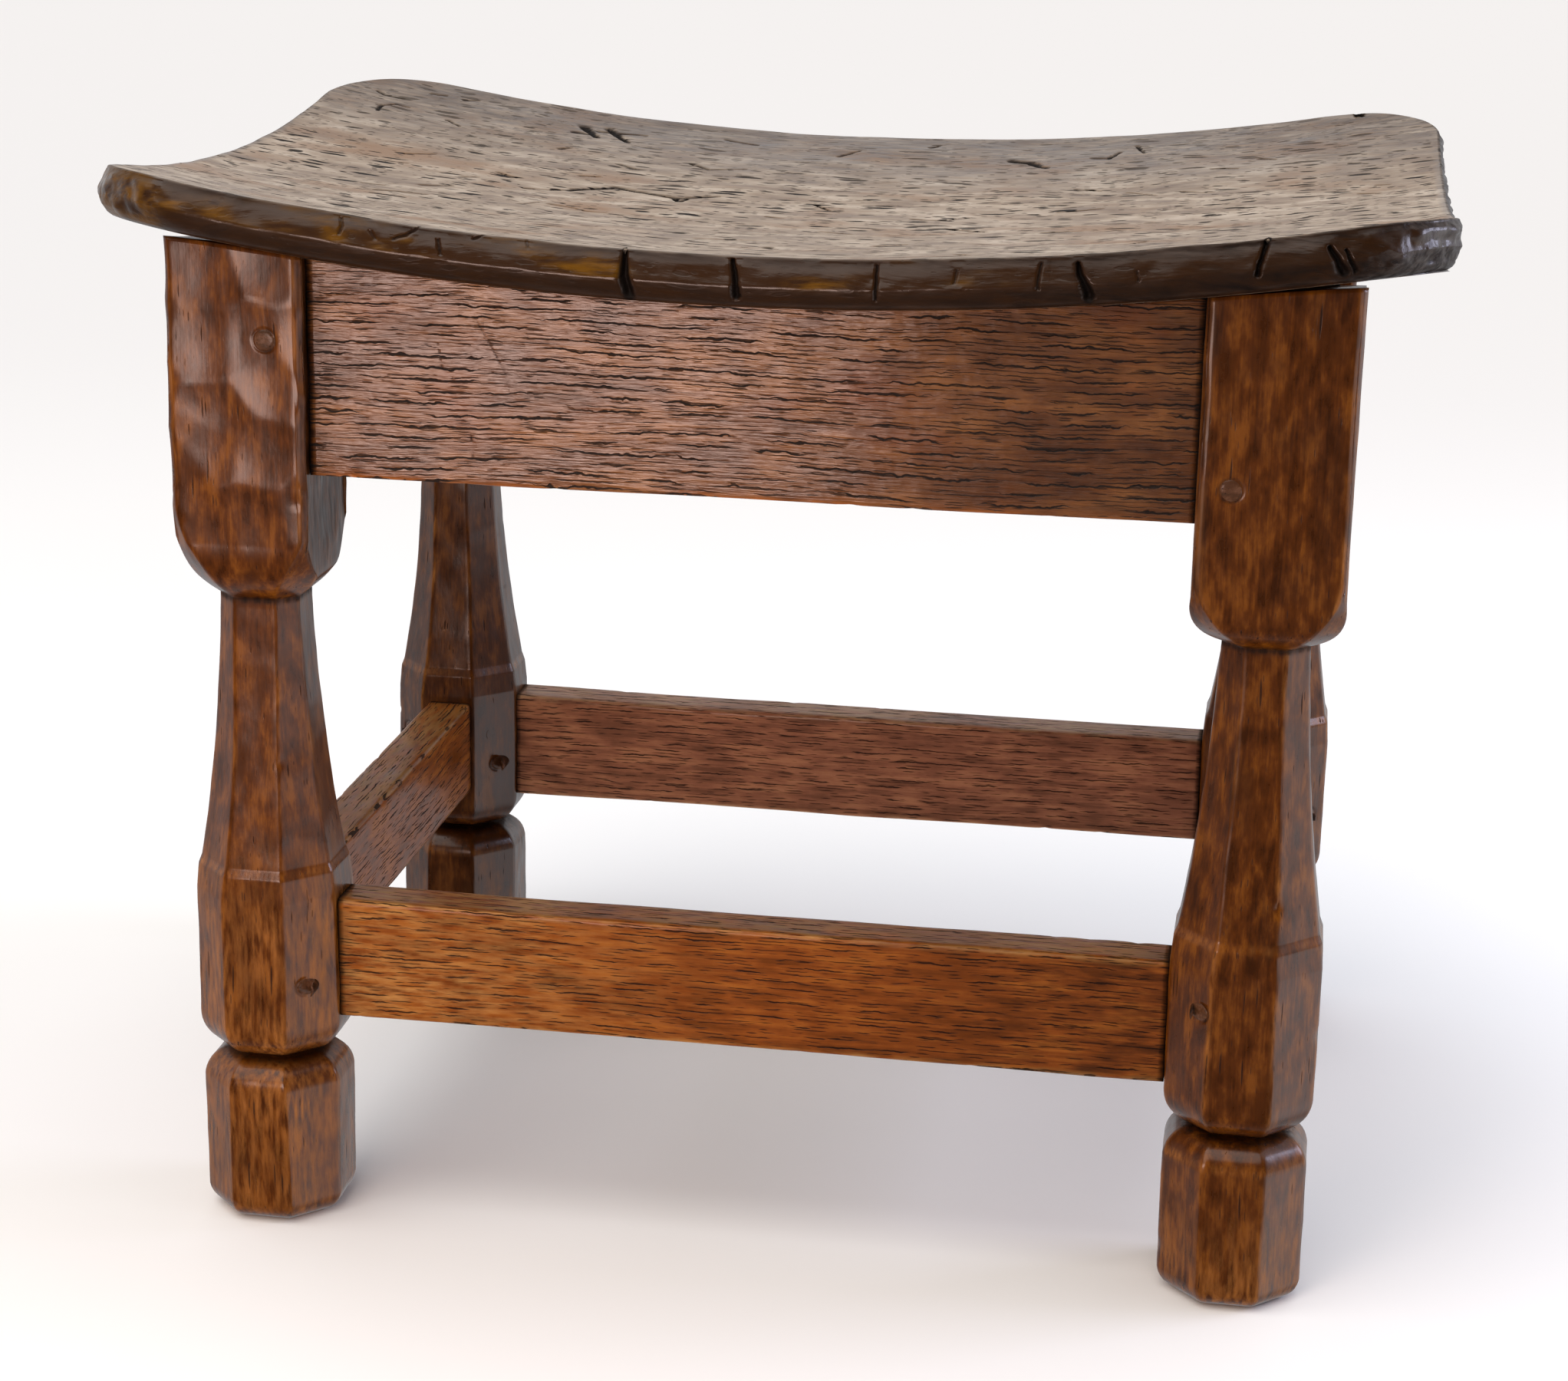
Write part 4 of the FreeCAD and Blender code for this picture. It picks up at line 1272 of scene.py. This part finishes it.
    def carve(self, skin: Skin, axis: np.ndarray, marks: list[np.ndarray], seed: int) -> None:
        """Add tool marks, nicks and the rings round the pegs, and fit the top under the seat.

        Args:
            skin: The smooth leg.
            axis: Its axis in the plan.
            marks: Distance from an arris, facet number and place across the facet, for each vertex.
            seed: Seed of the leg.
        """
        arris, facet, offset = marks
        rough = skin.points.copy()
        h = self.heights()
        height = rough[:, 2]
        hewn = np.zeros(len(rough))
        for number in range(8):
            own = facet == number
            places = np.column_stack([offset[own], height[own]])
            block = smooth(h["block_low"] + 6, h["block_full"], height[own])
            slices = Scoops(seed + number, self.slice_cell, self.slice_deep).at(places)
            adzed = Scoops(seed + 40 + number, self.adze_cell, self.hewing).at(places)
            hewn[own] = slices * (1 - block) + adzed * block
        hollows = 0.15 * Ripple(seed + 20, (17.0, 17.0, 30.0)).at(rough)
        hollows += 0.1 * Ripple(seed + 21, (6.0, 6.0, 12.0)).at(rough)
        nicks = nicked(rough, len(rough), seed, self.nicks, self.nick_radii, self.nick_depths) * bell(arris, 2.0)
        away = unit(rough[:, :2] - axis)
        skin.points[:, :2] += away * ((hollows - hewn - 1.2 * nicks) * (facet >= 0))[:, None]
        skin.points[:, 2] = self.fit_under_seat(skin.points)

        before = skin.points
        skin.refine(np.any([peg.rim(before) < self.rim_reach for peg in self.pegs], axis=0), self.rim_cuts)
        arris = arris[self.nearest(before, skin.points)]
        ring = np.maximum.reduce([bell(peg.rim(skin.points), self.ring_width) for peg in self.pegs])
        skin.points[:, :2] -= unit(skin.points[:, :2] - axis) * (self.ring_deep * ring)[:, None]
        self.age(skin, axis, arris, ring, seed)

    def age(self, skin: Skin, axis: np.ndarray, arris: np.ndarray, ring: np.ndarray, seed: int) -> None:
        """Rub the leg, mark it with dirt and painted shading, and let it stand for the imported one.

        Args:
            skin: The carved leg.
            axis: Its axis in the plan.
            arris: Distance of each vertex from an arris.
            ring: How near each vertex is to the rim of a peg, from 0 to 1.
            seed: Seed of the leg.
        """
        points, h = skin.points, self.heights()
        height = points[:, 2]
        patchy = 0.5 + 0.5 * Ripple(seed + 30, (9.0, 9.0, 22.0)).at(points)
        blotch = smooth(0.25, 0.85, Ripple(seed + 31, (12.0, 12.0, 24.0)).at(points))
        inner = np.abs(points[:, 0]) < abs(axis[0]) - self.block + 4.0
        wear = np.maximum.reduce([
            bell(arris, self.arris_worn) * (0.04 + 0.55 * smooth(0.45, 1.0, patchy)),
            0.45 * patchy * bell(height - h["crease"] - 1.2, 1.6),
            0.45 * patchy * bell(height - h["foot_wall"] - 1.5, 1.6),
            smooth(50, 5, height) * (0.1 + 0.4 * patchy),
            self.rubbed * smooth(160, 110, height) * patchy])
        # Painted shadow in the groove, under the block, on the block's sides that face in and in a strip beside the
        # aprons;
        # dirt in blotches and round the pegs
        grime = np.maximum.reduce([
            0.9 * bell(height - (h["foot_top"] + h["belly_low"]) / 2, 2.2),
            0.7 * bell(height - h["block_low"] + 0.5, 1.3),
            0.16 * blotch,
            0.3 * inner * smooth(h["block_low"], h["block_full"], height),
            0.85 * inner * smooth(-152.0, -149.5, -np.abs(points[:, 1])) * smooth(278, 284, height),
            0.45 * ring])
        finish = WAXED_LEG.made(Grain.UPRIGHT, 10 + self.number, np.array((*axis, 190.0)),
                                (38.0 - 9 * self.number, 52.0), self.tone_and_painted_light)
        skin.piece(f"faceted_leg_{self.corner}", f"leg_{self.corner}", finish, WAXED_LEG.slot, wear=wear,
                   grime=grime)
        self.surface = BVHTree.FromPolygons(points.tolist(), skin.faces)

    @staticmethod
    def nearest(before: np.ndarray, after: np.ndarray) -> np.ndarray:
        """Match the vertices of a refined piece with the coarse ones.

        Args:
            before: Vertices before the refinement.
            after: Vertices after it.

        Returns:
            For each vertex after it, the number of the closest one before it.
        """
        tree = KDTree(len(before))
        for number, point in enumerate(before):
            tree.insert(point, number)
        tree.balance()
        return np.array([tree.find(point)[1] for point in after])

    def fit_under_seat(self, points: np.ndarray) -> np.ndarray:
        """Fit the top of the leg to the dished underside, a little open on the outer side.

        Args:
            points: Vertices of the leg.

        Returns:
            Their new heights.
        """
        start = self.heights()["corner_full"] + 2
        top = self.dish.top_centre + self.spare_top
        outside = np.clip((np.abs(points[:, 0]) - self.inner_face) / (2 * self.block), 0, 1)
        seat = self.dish.under(points[:, 0], points[:, 1]) - SEAT_GAP - 1.9 * outside ** 2
        share = np.clip((points[:, 2] - start) / (top - start), 0, 1)
        return np.where(share > 0, start + share * (seat - start), points[:, 2])


@dataclass(frozen=True)
class Lie:
    """How a board lies: its two axes in the plan, the way that faces out, and its limits in millimetres."""

    along: int
    across: int
    sign: int
    middle: float
    half_thick: float
    bottom: float
    top: float

    @property
    def mid_height(self) -> float:
        """Height halfway up the board."""
        return (self.bottom + self.top) / 2

    def centre(self, place: float) -> np.ndarray:
        """Middle of the board's section at a place along it."""
        spot = np.zeros(3)
        spot[self.along], spot[self.across], spot[2] = place, self.middle, self.mid_height
        return spot

    def on_face(self, points: np.ndarray) -> np.ndarray:
        """Whether each point lies on the face that looks out."""
        return self.sign * (points[:, self.across] - self.middle) > self.half_thick - ON_FACE


@dataclass
class Rail:
    """A board between two legs: an apron under the seat or a stretcher low down."""

    node: str
    side: str
    number: int
    finish: OakFinish
    dish: Dish
    span: tuple[float, float]
    under_seat: bool
    arris: float = 1.2
    rubbed: float = 0.9
    hewing: float = 0.12
    step: float = 2.4
    across_step: float = 2.0
    fitted: float = 20.0
    scratch_reach: float = 3.4
    scratch_cuts: int = 4
    # Hollows of the adze, and the slight wave of both edges
    slice_cell: tuple[float, float] = (42.0, 24.0)
    edge_wave: float = 0.45
    nicks: int = 70
    nick_radii: tuple[float, float] = (1.0, 2.6)
    nick_depths: tuple[float, float] = (0.2, 0.8)
    # Where the heart of the log lies from the board: well to one side, so that the rows of pores run along its face
    pith: tuple[float, float] = (95.0, 120.0)
    tone_and_painted_light: float = 1.0
    rubbed_end: float = 0.0
    painted_shade_end: float = 0.0
    richness: float = 1.0
    scratches: tuple[Crack, ...] = ()

    @property
    def seed(self) -> int:
        """Seed of the board's own unevenness."""
        return 900 + 20 * self.number

    def lie(self) -> Lie:
        """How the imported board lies.

        Returns:
            Its axes, the way it faces and its limits.
        """
        low, high = node_box(self.node)
        along, across = (0, 1) if self.side in ("front", "back") else (1, 0)
        return Lie(along, across, -1 if self.side in ("front", "left") else 1, (low[across] + high[across]) / 2,
                   (high[across] - low[across]) / 2, low[2], high[2])

    def blank(self, lie: Lie) -> Skin:
        """Saw the board: one loop of its section after another, with both ends closed.

        Args:
            lie: How the board lies.

        Returns:
            The smooth board, with finer faces round its scratches.
        """
        start, end = self.span
        lengthwise = np.linspace(start, end, round((end - start) / self.step) + 1)
        loop = self.section(lie.half_thick, lie.bottom, lie.top)
        grid = np.zeros((len(lengthwise), len(loop), 3))
        grid[:, :, lie.along] = lengthwise[:, None]
        grid[:, :, lie.across] = lie.middle + lie.sign * loop[None, :, 0]
        grid[:, :, 2] = loop[None, :, 1]
        skin = Skin()
        skin.put(grid.reshape(-1, 3))
        numbers = np.arange(len(skin.points)).reshape(grid.shape[:2])
        flip = (lie.sign < 0) == (lie.along == 0)
        skin.weave(numbers[:, ::-1] if flip else numbers, closed=True)
        for ring, place, turned in ((numbers[0], start, not flip), (numbers[-1], end, flip)):
            skin.cap(ring[::-1] if turned else ring, lie.centre(place))
        near = cracked(self.scratches, skin.points[:, (lie.along, 2)])[1]
        skin.refine(lie.on_face(skin.points) & (near < self.scratch_reach), self.scratch_cuts)
        return skin

    def build(self) -> None:
        """Build the board: saw it, work its faces, and fit its top under the seat where it touches."""
        lie, seed, (start, end) = self.lie(), self.seed, self.span
        along, across, sign, bottom, top = lie.along, lie.across, lie.sign, lie.bottom, lie.top
        skin = self.blank(lie)
        points = skin.points.copy()
        depth = sign * (points[:, across] - lie.middle)
        from_side = lie.half_thick - np.abs(depth)
        from_edge = np.minimum(points[:, 2] - bottom, top - points[:, 2])
        edge = np.maximum(from_side, from_edge)
        on_side = from_side < from_edge
        outward = np.where(on_side, np.sign(depth), 0.0)
        upward = np.where(on_side, 0.0, np.sign(points[:, 2] - lie.mid_height))

        # Low hollows, slices of the adze, a slight wave of both edges, nicks along the arrises, and scratches
        hollows = 0.16 * Ripple(seed, (16.0, 30.0, 18.0) if along else (30.0, 16.0, 18.0)).at(points)
        hollows += 0.07 * Ripple(seed + 1, (11.0, 11.0, 7.0)).at(points)
        slices = Scoops(seed + 5, self.slice_cell, self.hewing).at(points[:, (along, 2)])
        hollows -= slices * (1 - smooth(self.arris * 1.5, 0, edge))
        wave = self.edge_wave * Ripple(seed + 2, (70.0, 70.0, 900.0)).at(points)
        sawn = (round((end - start) / self.step) + 1) * len(self.section(lie.half_thick, bottom, top))
        nicks = nicked(points, sawn, seed, self.nicks, self.nick_radii, self.nick_depths) * bell(edge, 2.5)
        shift = hollows - 1.2 * nicks
        scratched = np.where(lie.on_face(points), cracked(self.scratches, points[:, (along, 2)])[0], 0)
        skin.points[:, across] += sign * outward * (shift - scratched)
        skin.points[:, 2] += upward * (shift + wave)
        if self.under_seat:
            base = bottom + self.fitted
            seat = self.dish.under(points[:, 0], points[:, 1]) - SEAT_GAP
            share = np.clip((skin.points[:, 2] - base) / (top - base), 0, 1)
            skin.points[:, 2] = np.where(share > 0, base + share * (seat - base), skin.points[:, 2])
        self.age(skin, lie, points, edge, upward, scratched)

    def age(self, skin: Skin, lie: Lie, points: np.ndarray, edge: np.ndarray, upward: np.ndarray,
            scratched: np.ndarray) -> None:
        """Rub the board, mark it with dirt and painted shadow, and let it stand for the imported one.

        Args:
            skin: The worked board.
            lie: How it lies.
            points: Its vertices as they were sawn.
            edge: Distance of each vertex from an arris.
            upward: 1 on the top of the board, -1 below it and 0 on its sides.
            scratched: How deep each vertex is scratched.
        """
        start, end = self.span
        patchy = 0.5 + 0.5 * Ripple(self.seed + 3, (26.0, 26.0, 9.0)).at(points)
        blotch = smooth(0.25, 0.9, Ripple(self.seed + 4, (30.0, 30.0, 12.0)).at(points))
        place = points[:, lie.along]
        from_end = np.minimum(place - start, end - place)
        hidden = self.under_seat & (points[:, 2] >= lie.mid_height)
        open_top = (upward > 0) & (not self.under_seat)
        wear = np.maximum.reduce([
            ~hidden * bell(edge, 1.3) * (0.2 + 0.6 * patchy) * self.rubbed,
            open_top * 0.5 * patchy,
            self.rubbed_end * smooth(20.0, start, place) * (0.4 + 0.6 * patchy)])
        # Painted shadow in and near the joints at both ends, dirt on the open tops, painted darkening towards the
        # board's end, and dirt in blotches and in the scratches
        grime = np.maximum.reduce([
            smooth(1.0, 0.2, from_end), 0.3 * smooth(8, 0, from_end), 0.28 * open_top,
            self.painted_shade_end * smooth(0.0, end, place), 0.12 * blotch, np.minimum(scratched * 3, 0.8)])
        grain, side = (Grain.ALONG_Y, -1) if lie.along else (Grain.ALONG_X, 1)
        finish = self.finish.made(grain, 30 + self.number, lie.centre(0.0), (self.pith[0], side * self.pith[1]),
                                  self.tone_and_painted_light, self.richness)
        skin.piece(f"board_{self.node}", self.node, finish, self.finish.slot, wear=wear, grime=grime)

    def section(self, half_thick: float, bottom: float, top: float) -> np.ndarray:
        """Loop round the board's section, with its arrises eased.

        Args:
            half_thick: Half its thickness.
            bottom: Height of its lower edge.
            top: Height of its upper edge.

        Returns:
            Rows of outward place and height.
        """
        corners = np.array([(half_thick, bottom), (half_thick, top), (-half_thick, top), (-half_thick, bottom)])
        rows = []
        for i, start in enumerate(corners):
            run = corners[(i + 1) % 4] - start
            before = corners[i - 1] - start
            span = np.linalg.norm(run)
            way, back = run / span, before / np.linalg.norm(before)
            rows += [start + (way + back) * self.arris * 0.28,
                     start + (0.62 * way + 0.08 * back) * self.arris]
            coarse = self.across_step * (1 if i == 0 or span < 25 else 2)
            rows += [start + way * place for place in
                     np.linspace(self.arris * 1.15, span - self.arris * 1.15, max(3, round(span / coarse)))]
            rows.append(start + way * (span - self.arris * 0.62) + back * self.arris * 0.08)
        return np.array(rows)


@dataclass
class PegSet:
    """The two pegs of one rail, driven flush, with softly domed ends."""

    node: str
    pegs: list[PegPlace]
    number: int
    legs: list[BVHTree]
    proud: float = 0.15
    reach: float = 6.0
    sides: int = 24

    def trimmed(self, spots: np.ndarray, way: np.ndarray) -> np.ndarray:
        """How far from each spot the leg's surface lies, so that the peg's end is cut off along it.

        Args:
            spots: Places on one end of the peg, in millimetres.
            way: Direction into the leg.

        Returns:
            One distance along the way for each spot, or 0 where the leg's surface isn't near.
        """
        found = np.zeros(len(spots))
        for index, spot in enumerate(spots):
            for leg in self.legs:
                hit = leg.ray_cast(Vector(spot - way * self.reach), Vector(way), 2 * self.reach)
                if hit[0] is not None:
                    found[index] = hit[3] - self.reach
        return found

    def build(self) -> None:
        """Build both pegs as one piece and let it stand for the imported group."""
        skin = Skin()
        rims = [self.add_peg(skin, peg, 60 + 10 * self.number + index) for index, peg in enumerate(self.pegs)]
        centre = self.pegs[0].head
        finish = RIVEN_PEG.made(Grain.ALONG_X, 50 + self.number, centre, (8.0, 8.0))
        skin.piece(f"riven_{self.node}", self.node, finish, RIVEN_PEG.slot, grime=np.concatenate(rims))

    def add_peg(self, skin: Skin, peg: PegPlace, seed: int) -> np.ndarray:
        """Add one peg to the skin: a slightly uneven rod with a domed end on each side.

        Args:
            skin: The piece that it becomes part of.
            peg: Its place and size.
            seed: Seed of its unevenness.

        Returns:
            How grimy each of its vertices is.
        """
        up = np.array((0.0, 0.0, 1.0))
        side = np.cross(peg.inward, up)
        angles = np.linspace(0, 2 * math.pi, self.sides, endpoint=False)
        circle = np.stack([np.cos(angles), np.sin(angles), np.zeros(self.sides)], axis=-1)
        lumpy = 1 + 0.06 * Ripple(seed, (0.7, 0.7, 0.7)).at(circle)
        # Share of the half width and depth below the leg's surface, from the middle of the end outwards
        ends = [(0.3, -self.proud), (0.65, -self.proud), (0.88, -self.proud * 0.6), (0.97, 0.2), (0.98, 1.5)]
        first = len(skin.points)
        rings, tips = [], []
        for origin, way in ((peg.head, peg.inward), (peg.head + peg.inward * peg.length, -peg.inward)):
            profile = []
            for share, depth in ends:
                radius = peg.half_width * share * lumpy
                spots = origin + np.outer(radius * np.cos(angles), side) + np.outer(radius * np.sin(angles), up)
                depths = self.trimmed(spots, way) + depth
                profile.append(skin.put(spots + depths[:, None] * way) + np.arange(self.sides))
            rings.append(profile)
            tips.append(skin.points[profile[0]].mean(axis=0) - 0.02 * way)
        loops = rings[0] + rings[1][::-1]
        skin.weave(np.array(loops)[:, ::-1], closed=True)
        skin.cap(rings[0][0], tips[0])
        skin.cap(rings[1][0][::-1], tips[1])
        grime = np.zeros(len(skin.points) - first)
        rim = np.repeat([0.5 if share > 0.93 else 0.05 for share, _ in ends], self.sides)
        grime[:2 * len(rim)] = np.tile(rim, 2)
        return grime


@dataclass
class SeatFixings:
    """Buttons and screws that hold the seat down, out of sight under it."""

    nodes: dict[str, bpy.types.Object]

    def dress(self) -> None:
        """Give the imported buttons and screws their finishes."""
        for node, material in (("seat_buttons", SAWN_BUTTON.made(Grain.ALONG_X, 70, np.zeros(3), (40.0, 40.0))),
                               ("button_screws", steel_screw())):
            piece = self.nodes[node]
            piece.data.materials.clear()
            piece.data.materials.append(material)
            LOG.info("%s: dressed as packed", node)


def hang(lamp: bpy.types.Light, place: tuple[float, float, float], target: tuple[float, float, float]) -> None:
    """Hang a lamp, unseen by the camera itself.

    Args:
        lamp: The lamp.
        place: Where it hangs, in metres.
        target: What it is turned towards.
    """
    holder = bpy.data.objects.new(lamp.name, lamp)
    holder.location = place
    holder.rotation_euler = (Vector(target) - Vector(place)).to_track_quat("-Z", "Y").to_euler()
    holder.visible_camera = False
    bpy.context.scene.collection.objects.link(holder)


@dataclass(frozen=True)
class SoftBox:
    """One soft lamp: place and target in metres, size and brightness of its face, and colour."""

    name: str
    place: tuple[float, float, float]
    target: tuple[float, float, float]
    size: tuple[float, float]
    radiance: float
    colour: str

    def build(self) -> None:
        """Build the lamp."""
        lamp = bpy.data.lights.new(self.name, "AREA")
        lamp.shape = "RECTANGLE"
        lamp.size, lamp.size_y = self.size
        lamp.energy = self.radiance * math.pi * self.size[0] * self.size[1]
        lamp.color = linear(self.colour)[:3]
        hang(lamp, self.place, self.target)


@dataclass(frozen=True)
class Skylight:
    """Broad even light from far off: the way it comes from, how wide it is, its strength and colour."""

    name: str
    place: tuple[float, float, float]
    width_degrees: float
    strength: float
    colour: str

    def build(self) -> None:
        """Build the lamp."""
        lamp = bpy.data.lights.new(self.name, "SUN")
        lamp.angle = math.radians(self.width_degrees)
        lamp.energy = self.strength
        lamp.color = linear(self.colour)[:3]
        hang(lamp, self.place, (0.0, 0.0, 0.0))


@dataclass
class Studio:
    """Pale floor, soft lights, bright surroundings that are darker in front, and the camera."""

    camera_place: tuple[float, float, float] = (0.182575, -1.190451, 0.527545)
    yaw: float = -0.1608
    pitch: float = 0.2887
    roll: float = 0.018
    focal_px: float = 4202.22
    frame_px: int = 2044
    sensor_mm: float = 36.0
    floor_reach: float = 16.0
    behind: float = 0.96
    in_front: float = 0.03
    overhead: float = 1.6
    ceiling_in_front: float = 0.12
    low_right: float = 1.9
    above_wall: float = 0.75
    below_wall: float = 0.6
    lamps: tuple[SoftBox | Skylight, ...] = (
        Skylight("sky_front_left", (-0.5, -0.75, 1.3), 60.0, 1.7, "fff5ec"),
        SoftBox("low_left", (-0.2, -0.75, 0.24), (-0.09, -0.15, 0.3), (0.3, 0.14), 13.0, "ffddd0"),
        SoftBox("window_right", (1.3, 0.2, 0.55), (0.1, 0.0, 0.2), (0.6, 0.5), 9.0, "dfe2ff"),
    )

    def build(self) -> None:
        """Build the floor, the lights, the surroundings and the camera."""
        self.floor()
        self.surroundings()
        for lamp in self.lamps:
            lamp.build()
        self.camera()

    def floor(self) -> None:
        """Matt white paper, rolled out flat. The stool's polish doesn't mirror it."""
        mesh = bpy.data.meshes.new("paper_floor")
        reach = self.floor_reach
        mesh.from_pydata([(-reach, -reach, 0), (reach, -reach, 0), (reach, reach, 0), (-reach, reach, 0)], [],
                         [(0, 1, 2, 3)])
        material = bpy.data.materials.new("matt_white_paper")
        tree = empty_tree(material)
        spot = add(tree, "TexCoord", out="Object")
        cloud = add(tree, "TexNoise", spot, named={"Scale": 2.0, "Detail": 2.0})
        tone = add(tree, "Mix", cloud, named={6: linear("f1f1ef"), 7: linear("f4f5f4")}, out=2, data_type="RGBA")
        # Painted shading: the paper is coloured greyer at the back, where it lies farther from the lamps
        far = add(tree, "MapRange", add(tree, "SeparateXYZ", spot, out=1), 0.2, 1.6, interpolation_type="SMOOTHSTEP")
        tone = add(tree, "Mix", far, named={6: tone, 7: linear("e7e6e5")}, out=2, data_type="RGBA")
        add(tree, "OutputMaterial",
            add(tree, "BsdfPrincipled", named={"Base Color": tone, "Roughness": 1.0, "Specular IOR Level": 0.0}))
        mesh.materials.append(material)
        floor = bpy.data.objects.new("paper_floor", mesh)
        floor.visible_glossy = False
        bpy.context.scene.collection.objects.link(floor)

    def surroundings(self) -> None:
        """White wall behind that fades a little upwards, a white ceiling, and a dim room in front."""
        world = bpy.data.worlds.new("white_studio")
        tree = empty_tree(world)
        way = add(tree, "SeparateXYZ", add(tree, "TexCoord", out="Generated")).node.outputs
        # The low glow on the right is the sunlit paper beyond the floor, as the polish mirrors it
        wall, above, below, ceiling, nearer, right, low = (
            add(tree, "MapRange", way[axis], *limits, interpolation_type="SMOOTHSTEP") for axis, limits in (
                ("Y", (-0.6, 0.25, self.in_front, self.behind)), ("Z", (0.1, 0.5, 1.0, self.above_wall)),
                ("Z", (-0.2, 0.0, self.below_wall, 1.0)), ("Z", (0.4, 0.9, 0.0, self.overhead)),
                ("Y", (-0.6, 0.05, self.ceiling_in_front, 1.0)), ("X", (0.5, 0.9, 0.0, self.low_right)),
                ("Z", (-0.04, -0.14))))
        fade = add(tree, "Math", above, below, operation="MULTIPLY")
        wall, ceiling, glow = (add(tree, "Math", *pair, operation="MULTIPLY")
                               for pair in ((wall, fade), (ceiling, nearer), (right, low)))
        level = add(tree, "Math", wall, ceiling, operation="MAXIMUM")
        level = add(tree, "Math", level, glow, operation="MAXIMUM")
        add(tree, "OutputWorld", add(tree, "Background", linear("eef0f4"), level))
        bpy.context.scene.world = world

    def camera(self) -> None:
        """Camera at the photograph's viewing angle, found from the lines of the stool."""
        forward = Vector((math.sin(self.yaw), math.cos(self.yaw), 0))
        right = Vector((math.cos(self.yaw), -math.sin(self.yaw), 0))
        up = Vector((0, 0, 1))
        forward, up = (forward * math.cos(self.pitch) - up * math.sin(self.pitch),
                       up * math.cos(self.pitch) + forward * math.sin(self.pitch))
        right, up = (right * math.cos(self.roll) + up * math.sin(self.roll),
                     up * math.cos(self.roll) - right * math.sin(self.roll))
        data = bpy.data.cameras.new("photo_camera")
        data.sensor_width = self.sensor_mm
        data.sensor_fit = "HORIZONTAL"
        data.lens = self.focal_px / self.frame_px * self.sensor_mm
        data.clip_start = 0.05
        camera = bpy.data.objects.new("photo_camera", data)
        turn = Matrix((right, up, -forward)).transposed().to_4x4()
        camera.matrix_world = Matrix.Translation(Vector(self.camera_place)) @ turn
        bpy.context.scene.collection.objects.link(camera)
        bpy.context.scene.camera = camera


# What sets single legs apart: how light they are, partly painted light and shadow, the front left block, which is
# planed back on its inner side, adzed and rubbed, and the front right one, which has a shorter, rounder bottom
LEG_HANDS = {"front_left": {"tone_and_painted_light": 0.88, "trim": FRONT_LEFT_TRIM, "hewing": ADZED, "rubbed": 0.45},
             "front_right": {"tone_and_painted_light": 0.84, "block_round": 17.5, "block_bow": 4.2, "corner_cut": 26.0,
                             "corner_bow": 5.5},
             "back_left": {"tone_and_painted_light": 0.62}, "back_right": {"tone_and_painted_light": 0.9}}
# The front apron gets painted darkening towards its right end
APRON_HANDS = {"front": {"painted_shade_end": 0.3}}
# What sets single stretchers apart: how light and strong in colour, partly painted light, rubbed at the left end,
# and painted darkening towards the right one
STRETCHER_HANDS = {"front": {"tone_and_painted_light": 1.04, "rubbed_end": 0.35, "painted_shade_end": 0.36},
                   "back": {"tone_and_painted_light": 1.5, "richness": 0.82}}
# Long scratch and nicks on the front apron, as x and z
APRON_SCRATCHES = (Crack(((-93.5, 341.3), (-88.0, 331.0), (-83.1, 320.9)), (0.14, 0.1), 0.25),
                   Crack(((-107.0, 331.0), (-105.5, 322.0), (-101.0, 318.0)), (0.12, 0.1), 0.2),
                   Crack(((-95.5, 297.0), (-95.0, 289.0)), (0.12, 0.1), 0.2))


def main(frame: dict) -> None:
    """Build the stool's pieces in order, then the studio.
    """
    logging.basicConfig(level=logging.INFO, format="%(name)s %(message)s")
    low, high = node_box("seat")
    dish = Dish(half_length=(high[0] - low[0]) / 2, half_depth=(high[1] - low[1]) / 2)
    SeatPlank(dish).build()

    pegs = {name: peg_places(frame["nodes"][name], side)
            for name, side in ((f"{kind}_pegs_{side}", side) for kind in ("apron", "stretcher") for side in SIDES)}
    legs = []
    for number, corner in enumerate(CORNERS):
        low, high = node_box(f"leg_{corner}")
        near = [peg for places in pegs.values() for peg in places
                if (np.abs(peg.head[:2] - (low + high)[:2] / 2) < (high - low)[:2]).all()]
        legs.append(Leg(corner, number + 1, dish, near, **LEG_HANDS[corner]))
        legs[-1].build()
    for number, (name, places) in enumerate(pegs.items()):
        PegSet(name, places, number + 1, [leg.surface for leg in legs]).build()

    block, belly = legs[0].block, legs[0].belly
    low, high = node_box("leg_front_right")
    axis = np.abs([high[0], low[1]]) - block
    for number, side in enumerate(SIDES):
        along = axis[0] if side in ("front", "back") else axis[1]
        trim = FRONT_LEFT_TRIM if side == "front" else 0.0
        Rail(f"apron_{side}", side, number, WAXED_APRON, dish, (block - along - trim, along - block), True,
             scratches=APRON_SCRATCHES if side == "front" else (), **APRON_HANDS.get(side, {})).build()
        Rail(f"stretcher_{side}", side, 10 + number, WAXED_STRETCHER, dish, (belly - along, along - belly), False,
             arris=2.2, hewing=0.22, **STRETCHER_HANDS.get(side, {})).build()

    SeatFixings(frame["nodes"]).dress()
    Studio().build()
    bpy.context.scene.view_settings.view_transform = "Standard"


if __name__ == "__main__":
    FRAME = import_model()
    main(FRAME)
